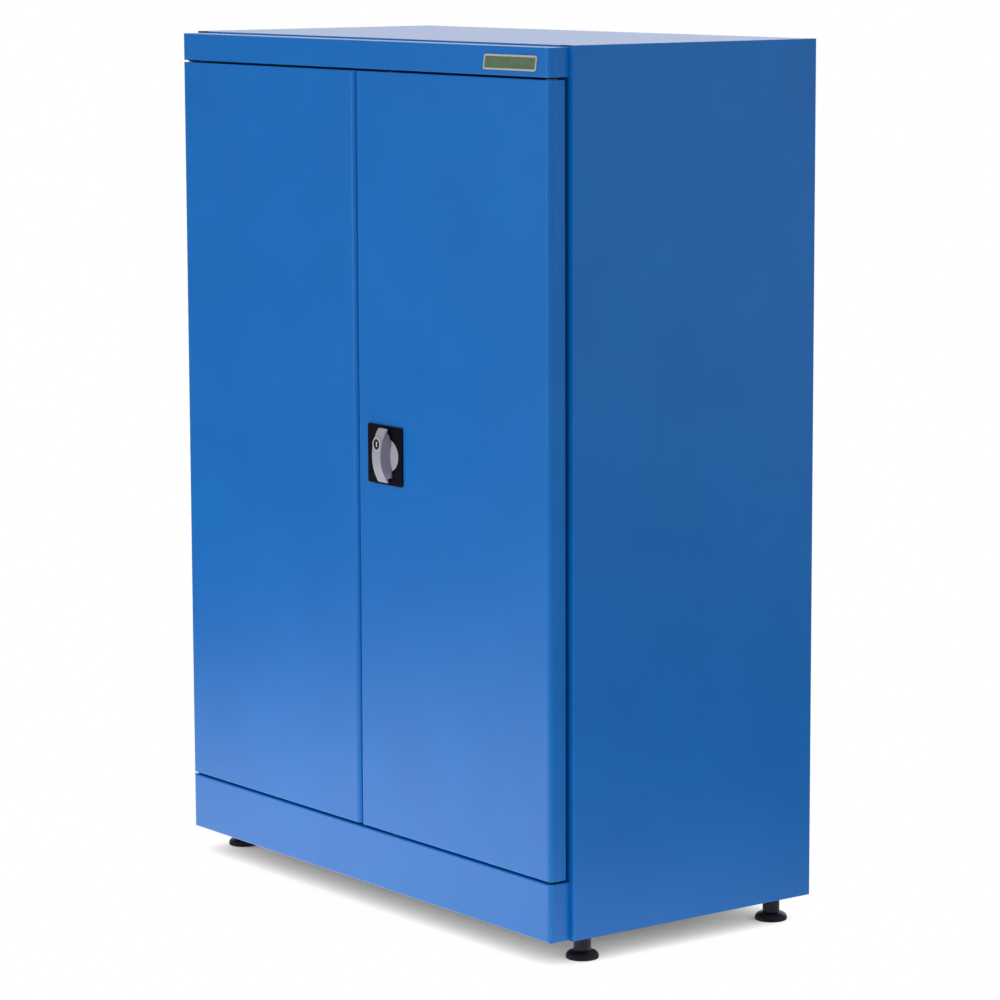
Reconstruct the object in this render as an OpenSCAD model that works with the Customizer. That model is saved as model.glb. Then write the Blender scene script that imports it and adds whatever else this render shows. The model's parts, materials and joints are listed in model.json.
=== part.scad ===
// Two-door sheet-steel tool cabinet with a rotary three-point lock.
// Millimetres. X runs to the right, Y to the back and Z up; the floor is at z = 0.
// Depths named "..._y" are measured back from the front face of the doors.

/* [Body] */
// Width over the side panels
body_w = 760; // [640:10:1000]
// Depth of the side panels
side_d = 356; // [300:5:600]
// Height of the side panels
body_h = 1010; // [900:10:1400]
// Sheet thickness of the body
sheet = 1; // [0.8:0.1:1.5]
// Width of the front flange of a side panel
front_flange = 24; // [20:1:34]
// Depth of the stiffening lip behind the front flange
flange_lip = 11; // [8:1:16]
// Width of the rear flange of a side panel
rear_flange = 20; // [16:1:30]
// Width of the bottom flange of a side panel
bottom_flange = 12; // [8:1:14]
// Bend radius at the front edge of a side panel
side_bend_r = 2.5; // [1.5:0.5:4]
// Depth of the side and rear downturns of the roof
roof_turn = 20; // [15:1:30]
// Depth of the roof's front downturn, which the doors close against
roof_stop = 55; // [50:1:80]
// Depth of the side and rear downturns of the floor panel
floor_turn = 24; // [15:1:28]
// Depth of the front downturn of the floor panel
floor_front_turn = 36; // [25:1:50]

/* [Front] */
// Distance from the door faces back to the front edge of the body
front_reach = 28; // [26:0.5:36]
// Step from a side panel's outer face in to the front parts
front_inset = 7; // [4:0.5:12]
// Height of the header fascia
header_h = 33; // [28:1:60]
// Step from the top of the roof down to the top of the header
header_drop = 2; // [1:0.5:6]
// Height of the plinth
plinth_h = 68; // [60:0.5:90]
// Height of the welding lip on the header and the plinth
weld_lip = 14; // [10:1:20]
// Gap round each door
door_gap = 2.5; // [2.5:0.5:5]
// Bend radius of the vertical front edges
bend_r = 6; // [3:0.5:6]
// Bend radius of the horizontal front edges
edge_r = 2; // [2:0.5:4]

/* [Doors] */
// Sheet thickness of the doors
door_sheet = 1; // [0.8:0.1:1.2]
// Thickness of a door over its folded edge
door_t = 23; // [22:0.5:24]
// Width of the lip round the back of a door
door_lip = 12; // [8:1:16]
// Width of the stiffener in a door, without its feet
stiffener_w = 60; // [40:5:90]
// Width of one foot of the stiffener
stiffener_foot = 14; // [10:1:20]
// Depth of the stiffener
stiffener_t = 15; // [10:1:18]
// Distance from the stiffener's end to the door's edge
stiffener_end = 32; // [25:1:80]

/* [Door pivots] */
// Distance of the pivot axis from the outer edge of the door
pivot_in = 11; // [10.5:0.5:13]
// Depth of the pivot axis behind the door face
pivot_y = 12; // [11:0.5:13]
// Diameter of a pivot pin
pin_d = 8; // [6:0.5:9]
// Length of a pin beyond the edge of the door
pin_out = 11; // [9:1:16]
// Diameter of a pin's collar and head
collar_d = 13; // [12:0.5:14]
// Thickness of a pin's head
pin_head_t = 4; // [3:0.5:6]
// Outer diameter of a pivot bush
bush_d = 12; // [11:0.5:14]
// Diameter of a bush's flange
bush_flange_d = 17; // [15:0.5:18]
// Thickness of a bush's flange
bush_flange_t = 1.5; // [1:0.1:1.7]
// Length of a bush from the sheet inwards
bush_l = 7; // [4:0.5:8]
// Length of a pivot bracket
bracket_l = 36; // [28:1:50]
// Thickness of a pivot bracket
bracket_t = 3; // [2:0.5:4]
// Depth of the down leg of a pivot bracket
bracket_leg = 26; // [20:1:40]

/* [Handle] */
// Distance of the handle axis from the middle of the cabinet
handle_x = 61.3; // [50:0.1:80]
// Height of the handle axis above the floor
handle_z = 555; // [450:1:650]
// Width of the handle plate
plate_w = 72; // [70:0.5:80]
// Height of the handle plate
plate_h = 70; // [70:0.5:80]
// Thickness of the handle plate
plate_t = 2.4; // [2:0.1:3]
// Corner radius of the handle plate
plate_r = 3; // [1:0.5:6]
// Depth of the round recess in the handle plate
recess_t = 0.8; // [0.4:0.1:1]
// Diameter of the threaded neck behind the handle plate
neck_d = 22; // [18:1:24]
// Length of the threaded neck
neck_l = 8.5; // [7:0.5:9]
// Width across the flats of the neck nut
neck_nut_af = 30; // [27:1:32]
// Thickness of the neck nut
neck_nut_t = 5; // [3:0.5:6]
// Distance that the grip stands out from the door face
grip_reach = 16; // [14:0.5:22]
// Length of the grip
grip_l = 65; // [60:1:68]
// Width of the grip's front face
grip_w = 16.5; // [16:0.5:17.5]
// Width of the grip at its root
grip_root_w = 27; // [22:0.5:28]
// Width of the grip at its tips
grip_tip_w = 15; // [12:0.5:16]
// Distance that the grip's tips stand out from the door face
tip_reach = 6; // [5.5:0.5:8]
// Thickness of the grip at its tips
tip_t = 1.4; // [1:0.1:2]
// Half length of the grip's root
root_half_l = 17; // [12:1:22]
// Diameter of the round rosette under the grip
rosette_d = 51; // [44:1:54]
// Height of the rosette's edge
rosette_edge = 0.8; // [0.5:0.1:1]
// Height of the rosette's dome above its edge
rosette_dome = 3.9; // [2:0.1:4.5]

/* [Key lock] */
// Height of the lock cylinder above the handle axis
lock_up = 14; // [13:0.5:15]
// Diameter of the lock cylinder
lock_d = 13; // [11:0.2:13.4]
// Diameter of the ring round the lock cylinder
lock_ring_d = 16.2; // [15:0.2:16.4]
// Distance from the door face to the front of the ring
lock_reach = 15.2; // [14.8:0.2:15.6]
// Distance from the door face to the back of the cylinder
lock_back = 5.6; // [5.4:0.2:7]
// Diameter of the turning plug
plug_d = 9.6; // [8:0.2:10]
// Width of the keyhole
keyhole_w = 1.4; // [1:0.1:1.8]
// Height of the keyhole
keyhole_h = 6.4; // [5:0.2:7]
// Depth of the keyhole
keyhole_deep = 7; // [4:0.5:8]

/* [Latch] */
// Diameter of the spindle where it turns in the handle plate
spindle_d = 10; // [10:0.5:12]
// Width of the spindle's square part
spindle_sq = 7; // [6:0.5:7]
// Depth of the spindle inside the grip, from the door face forwards
spindle_in = 9; // [7:0.5:10]
// Depth of the drive cam's front face
cam_y = 13.8; // [13.8:0.1:14.2]
// Thickness of the drive cam
cam_t = 3; // [2.5:0.5:3]
// Distance of the drive pins from the spindle axis
cam_r = 14; // [14:0.5:15]
// Diameter of a drive pin
drive_pin_d = 5; // [4:0.5:5]
// Length of a drive pin
drive_pin_l = 4.3; // [4:0.1:4.4]
// Diameter of the cam's hub
cam_hub_d = 20; // [18:1:22]
// Diameter of the spacer between cam and tongue
spacer_d = 14; // [12:0.5:16]
// Depth of the latch tongue's front face
tongue_y = 23.5; // [23.4:0.1:23.8]
// Thickness of the latch tongue
tongue_t = 3; // [2:0.5:3]
// Distance that the latch tongue reaches past the middle of the cabinet when locked
tongue_past = 14.7; // [12:0.1:18]
// Width of the latch tongue
tongue_w = 20; // [16:1:24]
// Thickness of the head of the tongue's screw
tongue_screw_t = 1.2; // [1:0.1:1.3]

/* [Lock case] */
// Depth of the rear plate of the lock case
case_y = 18; // [17.5:0.1:18.2]
// Sheet thickness of the lock case
case_t = 2; // [1.5:0.5:2]
// Width of the lock case
case_w = 52; // [50:1:60]
// Distance from the handle axis to a leg of the lock case
case_half_h = 58; // [56:1:66]
// Length of a foot of the lock case
case_foot = 16; // [14:1:20]
// Distance between the two screws in one foot
case_screw_gap = 32; // [28:1:36]

/* [Rods] */
// Diameter of a locking rod
rod_d = 8; // [6:0.5:8]
// Thickness of the forked plate on a rod
fork_t = 3; // [2:0.5:3]
// Width of a prong of the forked plate
prong_w = 3.2; // [3:0.2:3.4]
// Width of the forked plate's outer bar
fork_bar = 5; // [4:0.5:6]
// Distance from the handle axis to the forked plate's cross bar
fork_rise = 17; // [17:0.5:18]
// Height of the forked plate's cross bar
cross_bar = 12; // [8:1:14]
// Length of a rod's tip beyond the door at rest
tip_out = 2; // [1.6:0.1:2.2]
// Length of the cone at a rod's tip
tip_cone = 2; // [1:0.5:2]
// Outer diameter of a rod guide and of a bolt socket
guide_d = 13; // [12:0.5:15]
// Diameter of the flange of a rod guide and of a bolt socket
guide_flange_d = 17; // [16:0.5:20]
// Length of a rod guide and of a bolt socket
guide_l = 7; // [4:0.5:10]

/* [Badge] */
// Width of the blank badge plate
badge_w = 100; // [60:1:120]
// Height of the blank badge plate
badge_h = 17.4; // [12:0.2:20]
// Thickness of the badge plate
badge_t = 1; // [0.6:0.1:2]
// Distance from the badge to the outer edge of the header
badge_in = 20.2; // [10:0.1:40]
// Distance of the badge's middle below the middle of the header
badge_low = 1.5; // [0:0.5:2]
// Corner radius of the badge plate
badge_r = 2; // [1:0.5:4]

/* [Shelving] */
// Width of a slotted upright
upright_w = 25; // [20:1:32]
// Depth of a slotted upright
upright_t = 12; // [10:1:16]
// Distance from the body's front edge to the front uprights
upright_front = 50; // [40:5:80]
// Distance from the body's rear edge to the rear uprights
upright_rear = 50; // [40:5:80]
// Pitch of the slots
slot_pitch = 25; // [20:5:50]
// Height of a slot
slot_h = 12; // [10:1:15]
// Width of a slot
slot_w = 3; // [2.5:0.5:4]
// Distance from an upright's end to its first slot
slot_end = 30; // [20:5:60]
// Number of the slot that carries the lower shelf
lower_slot = 11; // [8:1:13]
// Number of the slot that carries the upper shelf
upper_slot = 23; // [18:1:26]
// Height of a shelf over its folded edge
shelf_t = 25; // [20:1:35]
// Width of the lip under a shelf's front and rear edges
shelf_lip = 12; // [8:1:18]
// Distance from the body's front edge to a shelf
shelf_front = 14; // [12:1:40]
// Distance that a shelf clip stands out from its upright
clip_l = 17; // [12:1:22]
// Width of a shelf clip
clip_w = 20; // [14:1:24]
// Thickness of a shelf clip
clip_t = 1.5; // [1:0.1:2]
// Height of a shelf clip below its ledge
clip_h = 20; // [16:1:26]

/* [Feet] */
// Clear height under the body
foot_clear = 30; // [22:1:40]
// Distance of a foot's axis from the side panel's outer face
foot_in = 28; // [26:0.5:32]
// Distance of the front feet from the body's front edge
foot_front = 34.3; // [30:0.1:60]
// Distance of the rear feet from the body's rear edge
foot_rear = 36.3; // [30:0.1:60]
// Diameter of a foot's pad
pad_d = 38; // [30:1:44]
// Height of the pad's straight rim
pad_rim = 3; // [2:0.5:5]
// Height of the whole pad
pad_h = 9; // [7:0.5:12]
// Diameter of a foot's stem
stem_d = 20; // [16:0.5:22]
// Height of the stem's top above the floor
stem_top = 38; // [34:1:42]
// Diameter of a foot's spindle
foot_spindle_d = 10; // [8:0.5:12]
// Length of the spindle in the stem
foot_spindle_in = 18; // [12:1:22]
// Length of the spindle above the stem
foot_spindle_l = 42; // [40:1:44]
// Thickness of the base rails
rail_t = 2.5; // [2:0.5:3]
// Width of a base rail
rail_w = 54; // [50:1:60]
// Height of a base rail
rail_h = 29; // [26:1:34]
// Thickness of a foot nut
foot_nut_t = 8; // [6:0.5:10]
// Width across the flats of a foot nut
foot_nut_af = 17; // [17:0.5:20]

/* [Small parts] */
// Diameter of a door buffer
buffer_d = 10; // [8:0.5:12]
// Diameter of a door buffer's stem
buffer_stem_d = 4; // [3:0.5:5]
// Length of a buffer's stem behind the sheet
buffer_stem_l = 5; // [3:0.5:8]
// Distance of the inner buffers from the middle of the cabinet
buffer_inner_x = 24; // [18:1:60]
// Distance of the outer buffers from the middle of the cabinet
buffer_outer_x = 300; // [200:10:300]
// Diameter of a rivet's head
rivet_head_d = 9; // [7:0.5:11]
// Thickness of a rivet's head
rivet_head_t = 1.2; // [1:0.1:2]
// Diameter of a rivet's shank
rivet_d = 4.8; // [4:0.2:5]
// Length of a rivet's tail inside the back panel
rivet_in = 4; // [2:0.5:6]
// Number of rivets along each rear flange
rivet_rows = 5; // [3:1:8]
// Distance of the end rivets from the floor panel and from the roof's downturn
rivet_end = 30; // [15:5:100]
// Diameter of a lock case screw's shank
case_screw_d = 5; // [4:0.5:5]
// Diameter of a lock case screw's head
case_screw_head_d = 9; // [8:0.5:10]
// Thickness of a lock case screw's head
case_screw_head_t = 3; // [2:0.5:4]

/* [Clearances] */
// Radial clearance of parts that turn or slide in each other
turn_fit = 0.05; // [0.03:0.01:0.08]
// Clearance between faces that pass each other
face_fit = 0.3; // [0.2:0.05:0.4]
// Clearance of holes that only let a part through
loose_fit = 0.5; // [0.4:0.1:0.8]
// Clearance of a fork above and below its drive pin
fork_fit = 0.6; // [0.5:0.05:0.7]
// Clearance at the end of a shelf
shelf_fit = 0.5; // [0.3:0.1:1]

/* [Hidden] */
$fn = 64;
cut = 1; // how far a cutting shape runs past the face that it opens
apart = 1; // distance between neighbouring parts that are not joined
seat = 0.02; // side clearance of parts that are fixed in each other

// Colours
door_blue = [0.12, 0.43, 0.73];
body_blue = [0.16, 0.36, 0.60];
black = [0.09, 0.08, 0.10];
die_cast = [0.66, 0.66, 0.70];
zinc = [0.72, 0.73, 0.75];
nylon = [0.90, 0.90, 0.88];
rubber = [0.15, 0.15, 0.15];
badge_green = [0.16, 0.42, 0.20];

// Overall places
half_w = body_w / 2;
wall_x = half_w - sheet; // inner face of a side panel
front_w = half_w - front_inset; // half width of header, plinth and door pair
overall_d = grip_reach + front_reach + side_d + rivet_head_t;
front_y = grip_reach - overall_d / 2; // door face, so that the whole depth is centred
rear_y = front_reach + side_d;
base_z = foot_clear;
top_z = foot_clear + body_h;

// Front parts
header_z1 = top_z - header_drop;
header_z0 = header_z1 - header_h;
plinth_z1 = base_z + plinth_h;
door_z0 = plinth_z1 + door_gap;
door_z1 = header_z0 - door_gap;
door_x0 = door_gap / 2;
door_x1 = front_w;
pivot_x = door_x1 - pivot_in;
collar_t = door_gap - bush_flange_t - face_fit; // a pin's collar reaches up to its bush
flange_x = half_w - front_flange; // inner edge of a side panel's front flange
between_x = flange_x - face_fit; // half width of what fits between the front flanges
rear_between_x = half_w - rear_flange - face_fit;
stop_z0 = top_z - roof_stop;

// Base
floor_z0 = plinth_z1 - sheet; // underside of the floor panel
foot_x = half_w - foot_in;
foot_ys = [front_reach + foot_front, rear_y - foot_rear];
rail_z0 = base_z + sheet;
rail_z1 = rail_z0 + rail_h;
rail_y0 = front_reach + flange_lip + apart;
rail_y1 = rear_y - 3 * sheet;

// Uprights and shelves
upright_z0 = plinth_z1;
upright_z1 = top_z - roof_turn;
upright_x = wall_x - upright_t; // face of an upright
upright_ys = [front_reach + upright_front, rear_y - upright_rear];
slot_count = floor((upright_z1 - upright_z0 - 2 * slot_end) / slot_pitch) + 1;
shelf_x = upright_x - shelf_fit;
shelf_y0 = front_reach + shelf_front;
shelf_y1 = rear_y - 3 * sheet - apart;
function slot_z(i) = upright_z0 + slot_end + i * slot_pitch;
clip_rise = slot_h / 2 + clip_t; // from the slot's middle up to the clip's ledge
function shelf_base_z(i) = slot_z(i) + clip_rise;

// Handle and latch
lock_z = handle_z + lock_up;
root_reach = plate_t + face_fit; // back of the grip's root, forwards of the door face
lock_wall = 1; // thickness of the lock cylinder's closed back
plug_y = -lock_back - lock_wall; // back of the room for the plug
spindle_sq_y = cam_y - seat;
spindle_end_y = tongue_y + tongue_t;
spacer_y = cam_y + cam_t + seat;
tongue_l = handle_x + tongue_past; // length of the tongue from the spindle axis
tongue_head_d = tongue_w / 2 + 2; // diameter of the head of the tongue's screw
stud_past = 1; // length of a lock case stud beyond its nut
pin_rise = cam_r * sin(45); // height of a drive pin above or below the axis at rest
throw = 2 * pin_rise; // travel of a rod over a quarter turn
fork_half = drive_pin_d / 2 + fork_fit; // half height of the fork's mouth
prong_play = 1.2; // distance from the prongs' ends to the drive pin at rest, across
prong_end = cam_r * cos(45) - drive_pin_d / 2 - prong_play; // inner end of the prongs
cross_bar_past = 1; // how far a cross bar reaches past its rod
fork_x = cam_r + drive_pin_d / 2 + loose_fit; // inner side of the fork's outer bar
rod_start = fork_rise + cross_bar / 2;

// ---- Shared shapes ----

module from_front() {
    translate([0, front_y, 0]) children();
}

module both_sides() {
    children();
    mirror([1, 0, 0]) children();
}

// A round bar along +Y, from depth y0 to depth y1
module bar_y(r, y0, y1) {
    translate([0, y0, 0]) rotate([-90, 0, 0]) cylinder(r = r, h = y1 - y0);
}

// A block between two corners
module block(low, high) {
    translate(low) cube(high - low);
}

// A rectangle from (a0, d0) to (a1, d1) with its two corners at d0 rounded
module front_rounded(a0, a1, d0, d1, r) {
    translate([a0, d0 + r]) square([a1 - a0, d1 - d0 - r]);
    translate([a0 + r, d0]) square([a1 - a0 - 2 * r, d1 - d0]);
    for (a = [a0 + r, a1 - r]) translate([a, d0 + r]) circle(r = r);
}

// A block whose four front edges are bent: radius rv upright, rh level
module bent_block(x0, x1, y0, y1, z0, z1, rv, rh) {
    intersection() {
        translate([0, 0, z0]) linear_extrude(z1 - z0) front_rounded(x0, x1, y0, y1, rv);
        translate([x0, 0, 0]) rotate([90, 0, 90]) linear_extrude(x1 - x0)
            mirror([1, -1, 0]) front_rounded(z0, z1, y0, y1, rh);
    }
}

// A sheet folded back on four sides, with lips round its open back
module folded_pan(x0, x1, z0, z1, depth, t, lip_x, lip_z0, lip_z1) {
    difference() {
        bent_block(x0, x1, 0, depth, z0, z1, bend_r, edge_r);
        bent_block(x0 + t, x1 - t, t, depth - t, z0 + t, z1 - t, bend_r - t, edge_r - t);
        block([x0 + lip_x, depth / 2, z0 + lip_z0], [x1 - lip_x, depth + cut, z1 - lip_z1]);
    }
}

// A square or rectangle with round corners, centred
module round_rect(w, h, r) {
    square([w - 2 * r, h], center = true);
    square([w, h - 2 * r], center = true);
    for (x = [-1, 1], y = [-1, 1]) translate([x * (w / 2 - r), y * (h / 2 - r)]) circle(r = r);
}

// A flanged bush on the Z axis: flange below z = 0, sleeve above
module flanged_bush(bore_r, sleeve_d, flange_d, flange_t, sleeve_l) {
    difference() {
        union() {
            cylinder(d = sleeve_d, h = sleeve_l);
            translate([0, 0, -flange_t]) cylinder(d = flange_d, h = flange_t);
        }
        translate([0, 0, -flange_t - cut]) cylinder(r = bore_r, h = flange_t + sleeve_l + 2 * cut);
    }
}

// ---- Body ----

// The right side panel: a wall with flanges at the front, the rear and the bottom
module side_panel() {
    r = side_bend_r;
    difference() {
        union() {
            translate([0, 0, base_z]) linear_extrude(body_h) difference() {
                union() {
                    translate([flange_x, front_reach]) square([front_flange - r, side_d]);
                    translate([flange_x, front_reach + r]) square([front_flange, side_d - r]);
                    translate([half_w - r, front_reach + r]) circle(r = r);
                }
                translate([flange_x - cut, front_reach + flange_lip])
                    square([cut + sheet, side_d - flange_lip - sheet]);
                translate([flange_x + sheet, front_reach + sheet])
                    square([front_flange - sheet - r, side_d - 2 * sheet]);
                translate([flange_x + sheet, front_reach + r])
                    square([front_flange - 2 * sheet, side_d - r - sheet]);
                translate([half_w - r, front_reach + r]) circle(r = r - sheet);
                translate([flange_x - cut, rear_y - sheet - cut])
                    square([cut + front_flange - rear_flange, sheet + 2 * cut]);
            }
            block([half_w - bottom_flange, front_reach + sheet, base_z],
                [half_w - sheet / 2, rear_y - sheet / 2, base_z + sheet]);
        }
        right_rivets() bar_y(rivet_d / 2 + seat, -2 * sheet, cut);
        // room for the roof panel, which lies between the two walls
        block([flange_x - cut, front_reach - cut, top_z - sheet], [wall_x, rear_y + cut, top_z + cut]);
    }
}

module left_side_panel() {
    color(body_blue) from_front() mirror([1, 0, 0]) side_panel();
}

module right_side_panel() {
    color(body_blue) from_front() side_panel();
}

module roof_panel() {
    turn_z = top_z - roof_turn;
    color(body_blue) from_front() difference() {
        union() {
            block([-wall_x, front_reach, top_z - sheet], [wall_x, rear_y, top_z]);
            block([-between_x, front_reach, stop_z0], [between_x, front_reach + sheet, top_z]);
            block([-between_x, front_reach, stop_z0],
                [between_x, front_reach + flange_lip, stop_z0 + sheet]);
            block([-rear_between_x, rear_y - sheet, turn_z], [rear_between_x, rear_y, top_z]);
            both_sides() block([wall_x - sheet, front_reach + 2 * sheet, turn_z],
                [wall_x, rear_y - 2 * sheet - face_fit, top_z]);
        }
        for (x = buffer_xs()) translate([x, 0, buffer_z()])
            bar_y(buffer_stem_d / 2 + seat, front_reach - cut, front_reach + sheet + cut);
    }
}

module floor_panel() {
    back = rear_y - 2 * sheet;
    turn_z = plinth_z1 - floor_turn;
    side_y = front_reach + flange_lip + face_fit;
    color(body_blue) from_front() {
        block([-between_x, front_reach, floor_z0], [between_x, back, plinth_z1]);
        block([-wall_x, side_y, floor_z0], [wall_x, back, plinth_z1]);
        block([-between_x, front_reach, plinth_z1 - floor_front_turn],
            [between_x, front_reach + sheet, plinth_z1]);
        block([-wall_x, back - sheet, turn_z], [wall_x, back, plinth_z1]);
        both_sides() block([wall_x - sheet, side_y, turn_z], [wall_x, back, plinth_z1]);
    }
}

module back_panel() {
    panel_x = wall_x - face_fit;
    color(body_blue) from_front() difference() {
        block([-panel_x, rear_y - 2 * sheet, rail_z0 + face_fit],
            [panel_x, rear_y - sheet, top_z - sheet - face_fit]);
        both_sides() right_rivets() bar_y(rivet_d / 2 + seat, -3 * sheet, cut);
    }
}

// The header: a folded box, welded to the roof's front downturn by its bottom lip
module header_fascia() {
    color(door_blue) from_front() difference() {
        folded_pan(-front_w, front_w, header_z0, header_z1, front_reach, sheet, sheet, weld_lip, sheet);
        front_holes(header_z0, bush_d / 2 + seat, guide_d / 2 + seat);
    }
}

// The plinth: the same box upside down
module plinth() {
    color(door_blue) from_front() difference() {
        folded_pan(-front_w, front_w, base_z, plinth_z1, front_reach, sheet, sheet, sheet, weld_lip);
        front_holes(plinth_z1, bush_d / 2 + seat, guide_d / 2 + seat);
    }
}

// Holes for the pivot bushes and the bolt socket in a level sheet at height z
module front_holes(z, pivot_r, bolt_r) {
    for (x = [-pivot_x, pivot_x]) translate([x, pivot_y, z - 2 * cut]) cylinder(r = pivot_r, h = 4 * cut);
    translate([handle_x, pivot_y, z - 2 * cut]) cylinder(r = bolt_r, h = 4 * cut);
}

module badge_plate() {
    x = front_w - badge_in - badge_w / 2;
    z = (header_z0 + header_z1) / 2 - badge_low;
    color(badge_green) from_front() translate([x, 0, z]) rotate([90, 0, 0])
        linear_extrude(badge_t) round_rect(badge_w, badge_h, badge_r);
}

// ---- Base ----

module base_rail() {
    x0 = wall_x - rail_w;
    difference() {
        block([x0, rail_y0, rail_z0], [wall_x, rail_y1, rail_z1]);
        block([x0 + rail_t, rail_y0 - cut, rail_z0 - cut],
            [wall_x - rail_t, rail_y1 + cut, rail_z1 - rail_t]);
        for (y = foot_ys) translate([foot_x, y, rail_z1 - rail_t - cut])
            cylinder(r = foot_spindle_d / 2 + loose_fit, h = rail_t + 2 * cut);
    }
}

module left_base_rail() {
    color(zinc) from_front() mirror([1, 0, 0]) base_rail();
}

module right_base_rail() {
    color(zinc) from_front() base_rail();
}

module foot_nuts() {
    color(zinc) from_front() both_sides() for (y = foot_ys) translate([foot_x, y, rail_z1])
        difference() {
            cylinder(d = foot_nut_af / cos(30), h = foot_nut_t, $fn = 6);
            translate([0, 0, -cut])
                cylinder(r = foot_spindle_d / 2 + turn_fit, h = foot_nut_t + 2 * cut);
        }
}

// A levelling foot at its own axis: a domed pad and a stem, bored for the spindle
module foot_body() {
    dome_r = pad_d / 2 - stem_d / 2;
    difference() {
        union() {
            cylinder(d = pad_d, h = pad_rim);
            translate([0, 0, pad_rim])
                cylinder(d1 = pad_d, d2 = pad_d - dome_r, h = (pad_h - pad_rim) * 0.6);
            translate([0, 0, pad_rim + (pad_h - pad_rim) * 0.6])
                cylinder(d1 = pad_d - dome_r, d2 = stem_d, h = (pad_h - pad_rim) * 0.4);
            cylinder(d = stem_d, h = stem_top);
        }
        translate([0, 0, stem_top - foot_spindle_in])
            cylinder(r = foot_spindle_d / 2 + seat, h = foot_spindle_in + cut);
    }
}

module foot_spindle_body() {
    translate([0, 0, stem_top - foot_spindle_in])
        cylinder(d = foot_spindle_d, h = foot_spindle_in + foot_spindle_l);
}

module at_foot(side, i) {
    from_front() translate([side * foot_x, foot_ys[i], 0]) children();
}

module front_left_foot() { color(black) at_foot(-1, 0) foot_body(); }
module front_right_foot() { color(black) at_foot(1, 0) foot_body(); }
module rear_left_foot() { color(black) at_foot(-1, 1) foot_body(); }
module rear_right_foot() { color(black) at_foot(1, 1) foot_body(); }
module front_left_foot_spindle() { color(zinc) at_foot(-1, 0) foot_spindle_body(); }
module front_right_foot_spindle() { color(zinc) at_foot(1, 0) foot_spindle_body(); }
module rear_left_foot_spindle() { color(zinc) at_foot(-1, 1) foot_spindle_body(); }
module rear_right_foot_spindle() { color(zinc) at_foot(1, 1) foot_spindle_body(); }

// ---- Shelving ----

// A slotted channel on the right wall, its open side against the wall
module upright(y) {
    y0 = y - upright_w / 2;
    y1 = y + upright_w / 2;
    difference() {
        block([upright_x, y0, upright_z0], [wall_x, y1, upright_z1]);
        block([upright_x + sheet, y0 + sheet, upright_z0 - cut],
            [wall_x + cut, y1 - sheet, upright_z1 + cut]);
        for (i = [0 : slot_count - 1]) translate([upright_x, y, slot_z(i)])
            cube([4 * sheet, slot_w, slot_h], center = true);
    }
}

module front_left_upright() {
    color(zinc) from_front() mirror([1, 0, 0]) upright(upright_ys[0]);
}

module front_right_upright() {
    color(zinc) from_front() upright(upright_ys[0]);
}

module rear_left_upright() {
    color(zinc) from_front() mirror([1, 0, 0]) upright(upright_ys[1]);
}

module rear_right_upright() {
    color(zinc) from_front() upright(upright_ys[1]);
}

// A shelf: a sheet turned down on four sides, with lips under its long edges
module shelf(z0) {
    z1 = z0 + shelf_t;
    difference() {
        block([-shelf_x, shelf_y0, z0], [shelf_x, shelf_y1, z1]);
        block([-shelf_x + sheet, shelf_y0 + sheet, z0 + sheet],
            [shelf_x - sheet, shelf_y1 - sheet, z1 - sheet]);
        block([-shelf_x + sheet, shelf_y0 + shelf_lip, z0 - cut],
            [shelf_x - sheet, shelf_y1 - shelf_lip, z0 + shelf_t / 2]);
    }
}

module lower_shelf() {
    color(zinc) from_front() shelf(shelf_base_z(lower_slot));
}

module upper_shelf() {
    color(zinc) from_front() shelf(shelf_base_z(upper_slot));
}

// Four clips for one shelf: a ledge, a leg on the upright and a hook in its slot
module shelf_clips(i) {
    z = slot_z(i);
    ledge_z = shelf_base_z(i);
    hook_t = slot_w - 2 * face_fit;
    both_sides() for (y = upright_ys) translate([upright_x, y, 0]) {
        block([-clip_l, -clip_w / 2, ledge_z - clip_t], [0, clip_w / 2, ledge_z]);
        block([-clip_t, -clip_w / 2, ledge_z - clip_h], [0, clip_w / 2, ledge_z]);
        block([-clip_t, -hook_t / 2, z - slot_h / 2], [sheet + face_fit, hook_t / 2, z + slot_h / 4]);
        block([sheet + face_fit, -hook_t / 2, z - slot_h], [3 * sheet, hook_t / 2, z + slot_h / 4]);
    }
}

module lower_shelf_clips() {
    color(zinc) from_front() shelf_clips(lower_slot);
}

module upper_shelf_clips() {
    color(zinc) from_front() shelf_clips(upper_slot);
}

// ---- Door pivots and bolt sockets in the body ----

module pivot_bush() {
    flanged_bush(pin_d / 2 + turn_fit, bush_d, bush_flange_d, bush_flange_t, bush_l);
}

module upper_pivot_bushes() {
    color(black) from_front() both_sides() translate([pivot_x, pivot_y, header_z0]) pivot_bush();
}

module lower_pivot_bushes() {
    color(black) from_front() both_sides() translate([pivot_x, pivot_y, plinth_z1])
        mirror([0, 0, 1]) pivot_bush();
}

// The sockets that the rods enter, each flanged inside the header or the plinth
module bolt_sockets() {
    bore_r = rod_d / 2 + loose_fit;
    color(nylon) from_front() translate([handle_x, pivot_y, 0]) {
        translate([0, 0, header_z0 + sheet]) socket_ring(bore_r);
        translate([0, 0, plinth_z1 - sheet]) mirror([0, 0, 1]) socket_ring(bore_r);
    }
}

// A ring through the sheet below z = 0, with its flange and sleeve above
module socket_ring(bore_r) {
    difference() {
        union() {
            translate([0, 0, -sheet]) cylinder(d = guide_d, h = sheet + guide_l);
            cylinder(d = guide_flange_d, h = sheet);
        }
        translate([0, 0, -sheet - cut]) cylinder(r = bore_r, h = sheet + guide_l + 2 * cut);
    }
}

// ---- Small parts of the body ----

function buffer_xs() = [-buffer_outer_x, -buffer_inner_x, buffer_inner_x, buffer_outer_x];
function buffer_z() = door_z1 - door_lip / 2;

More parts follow.
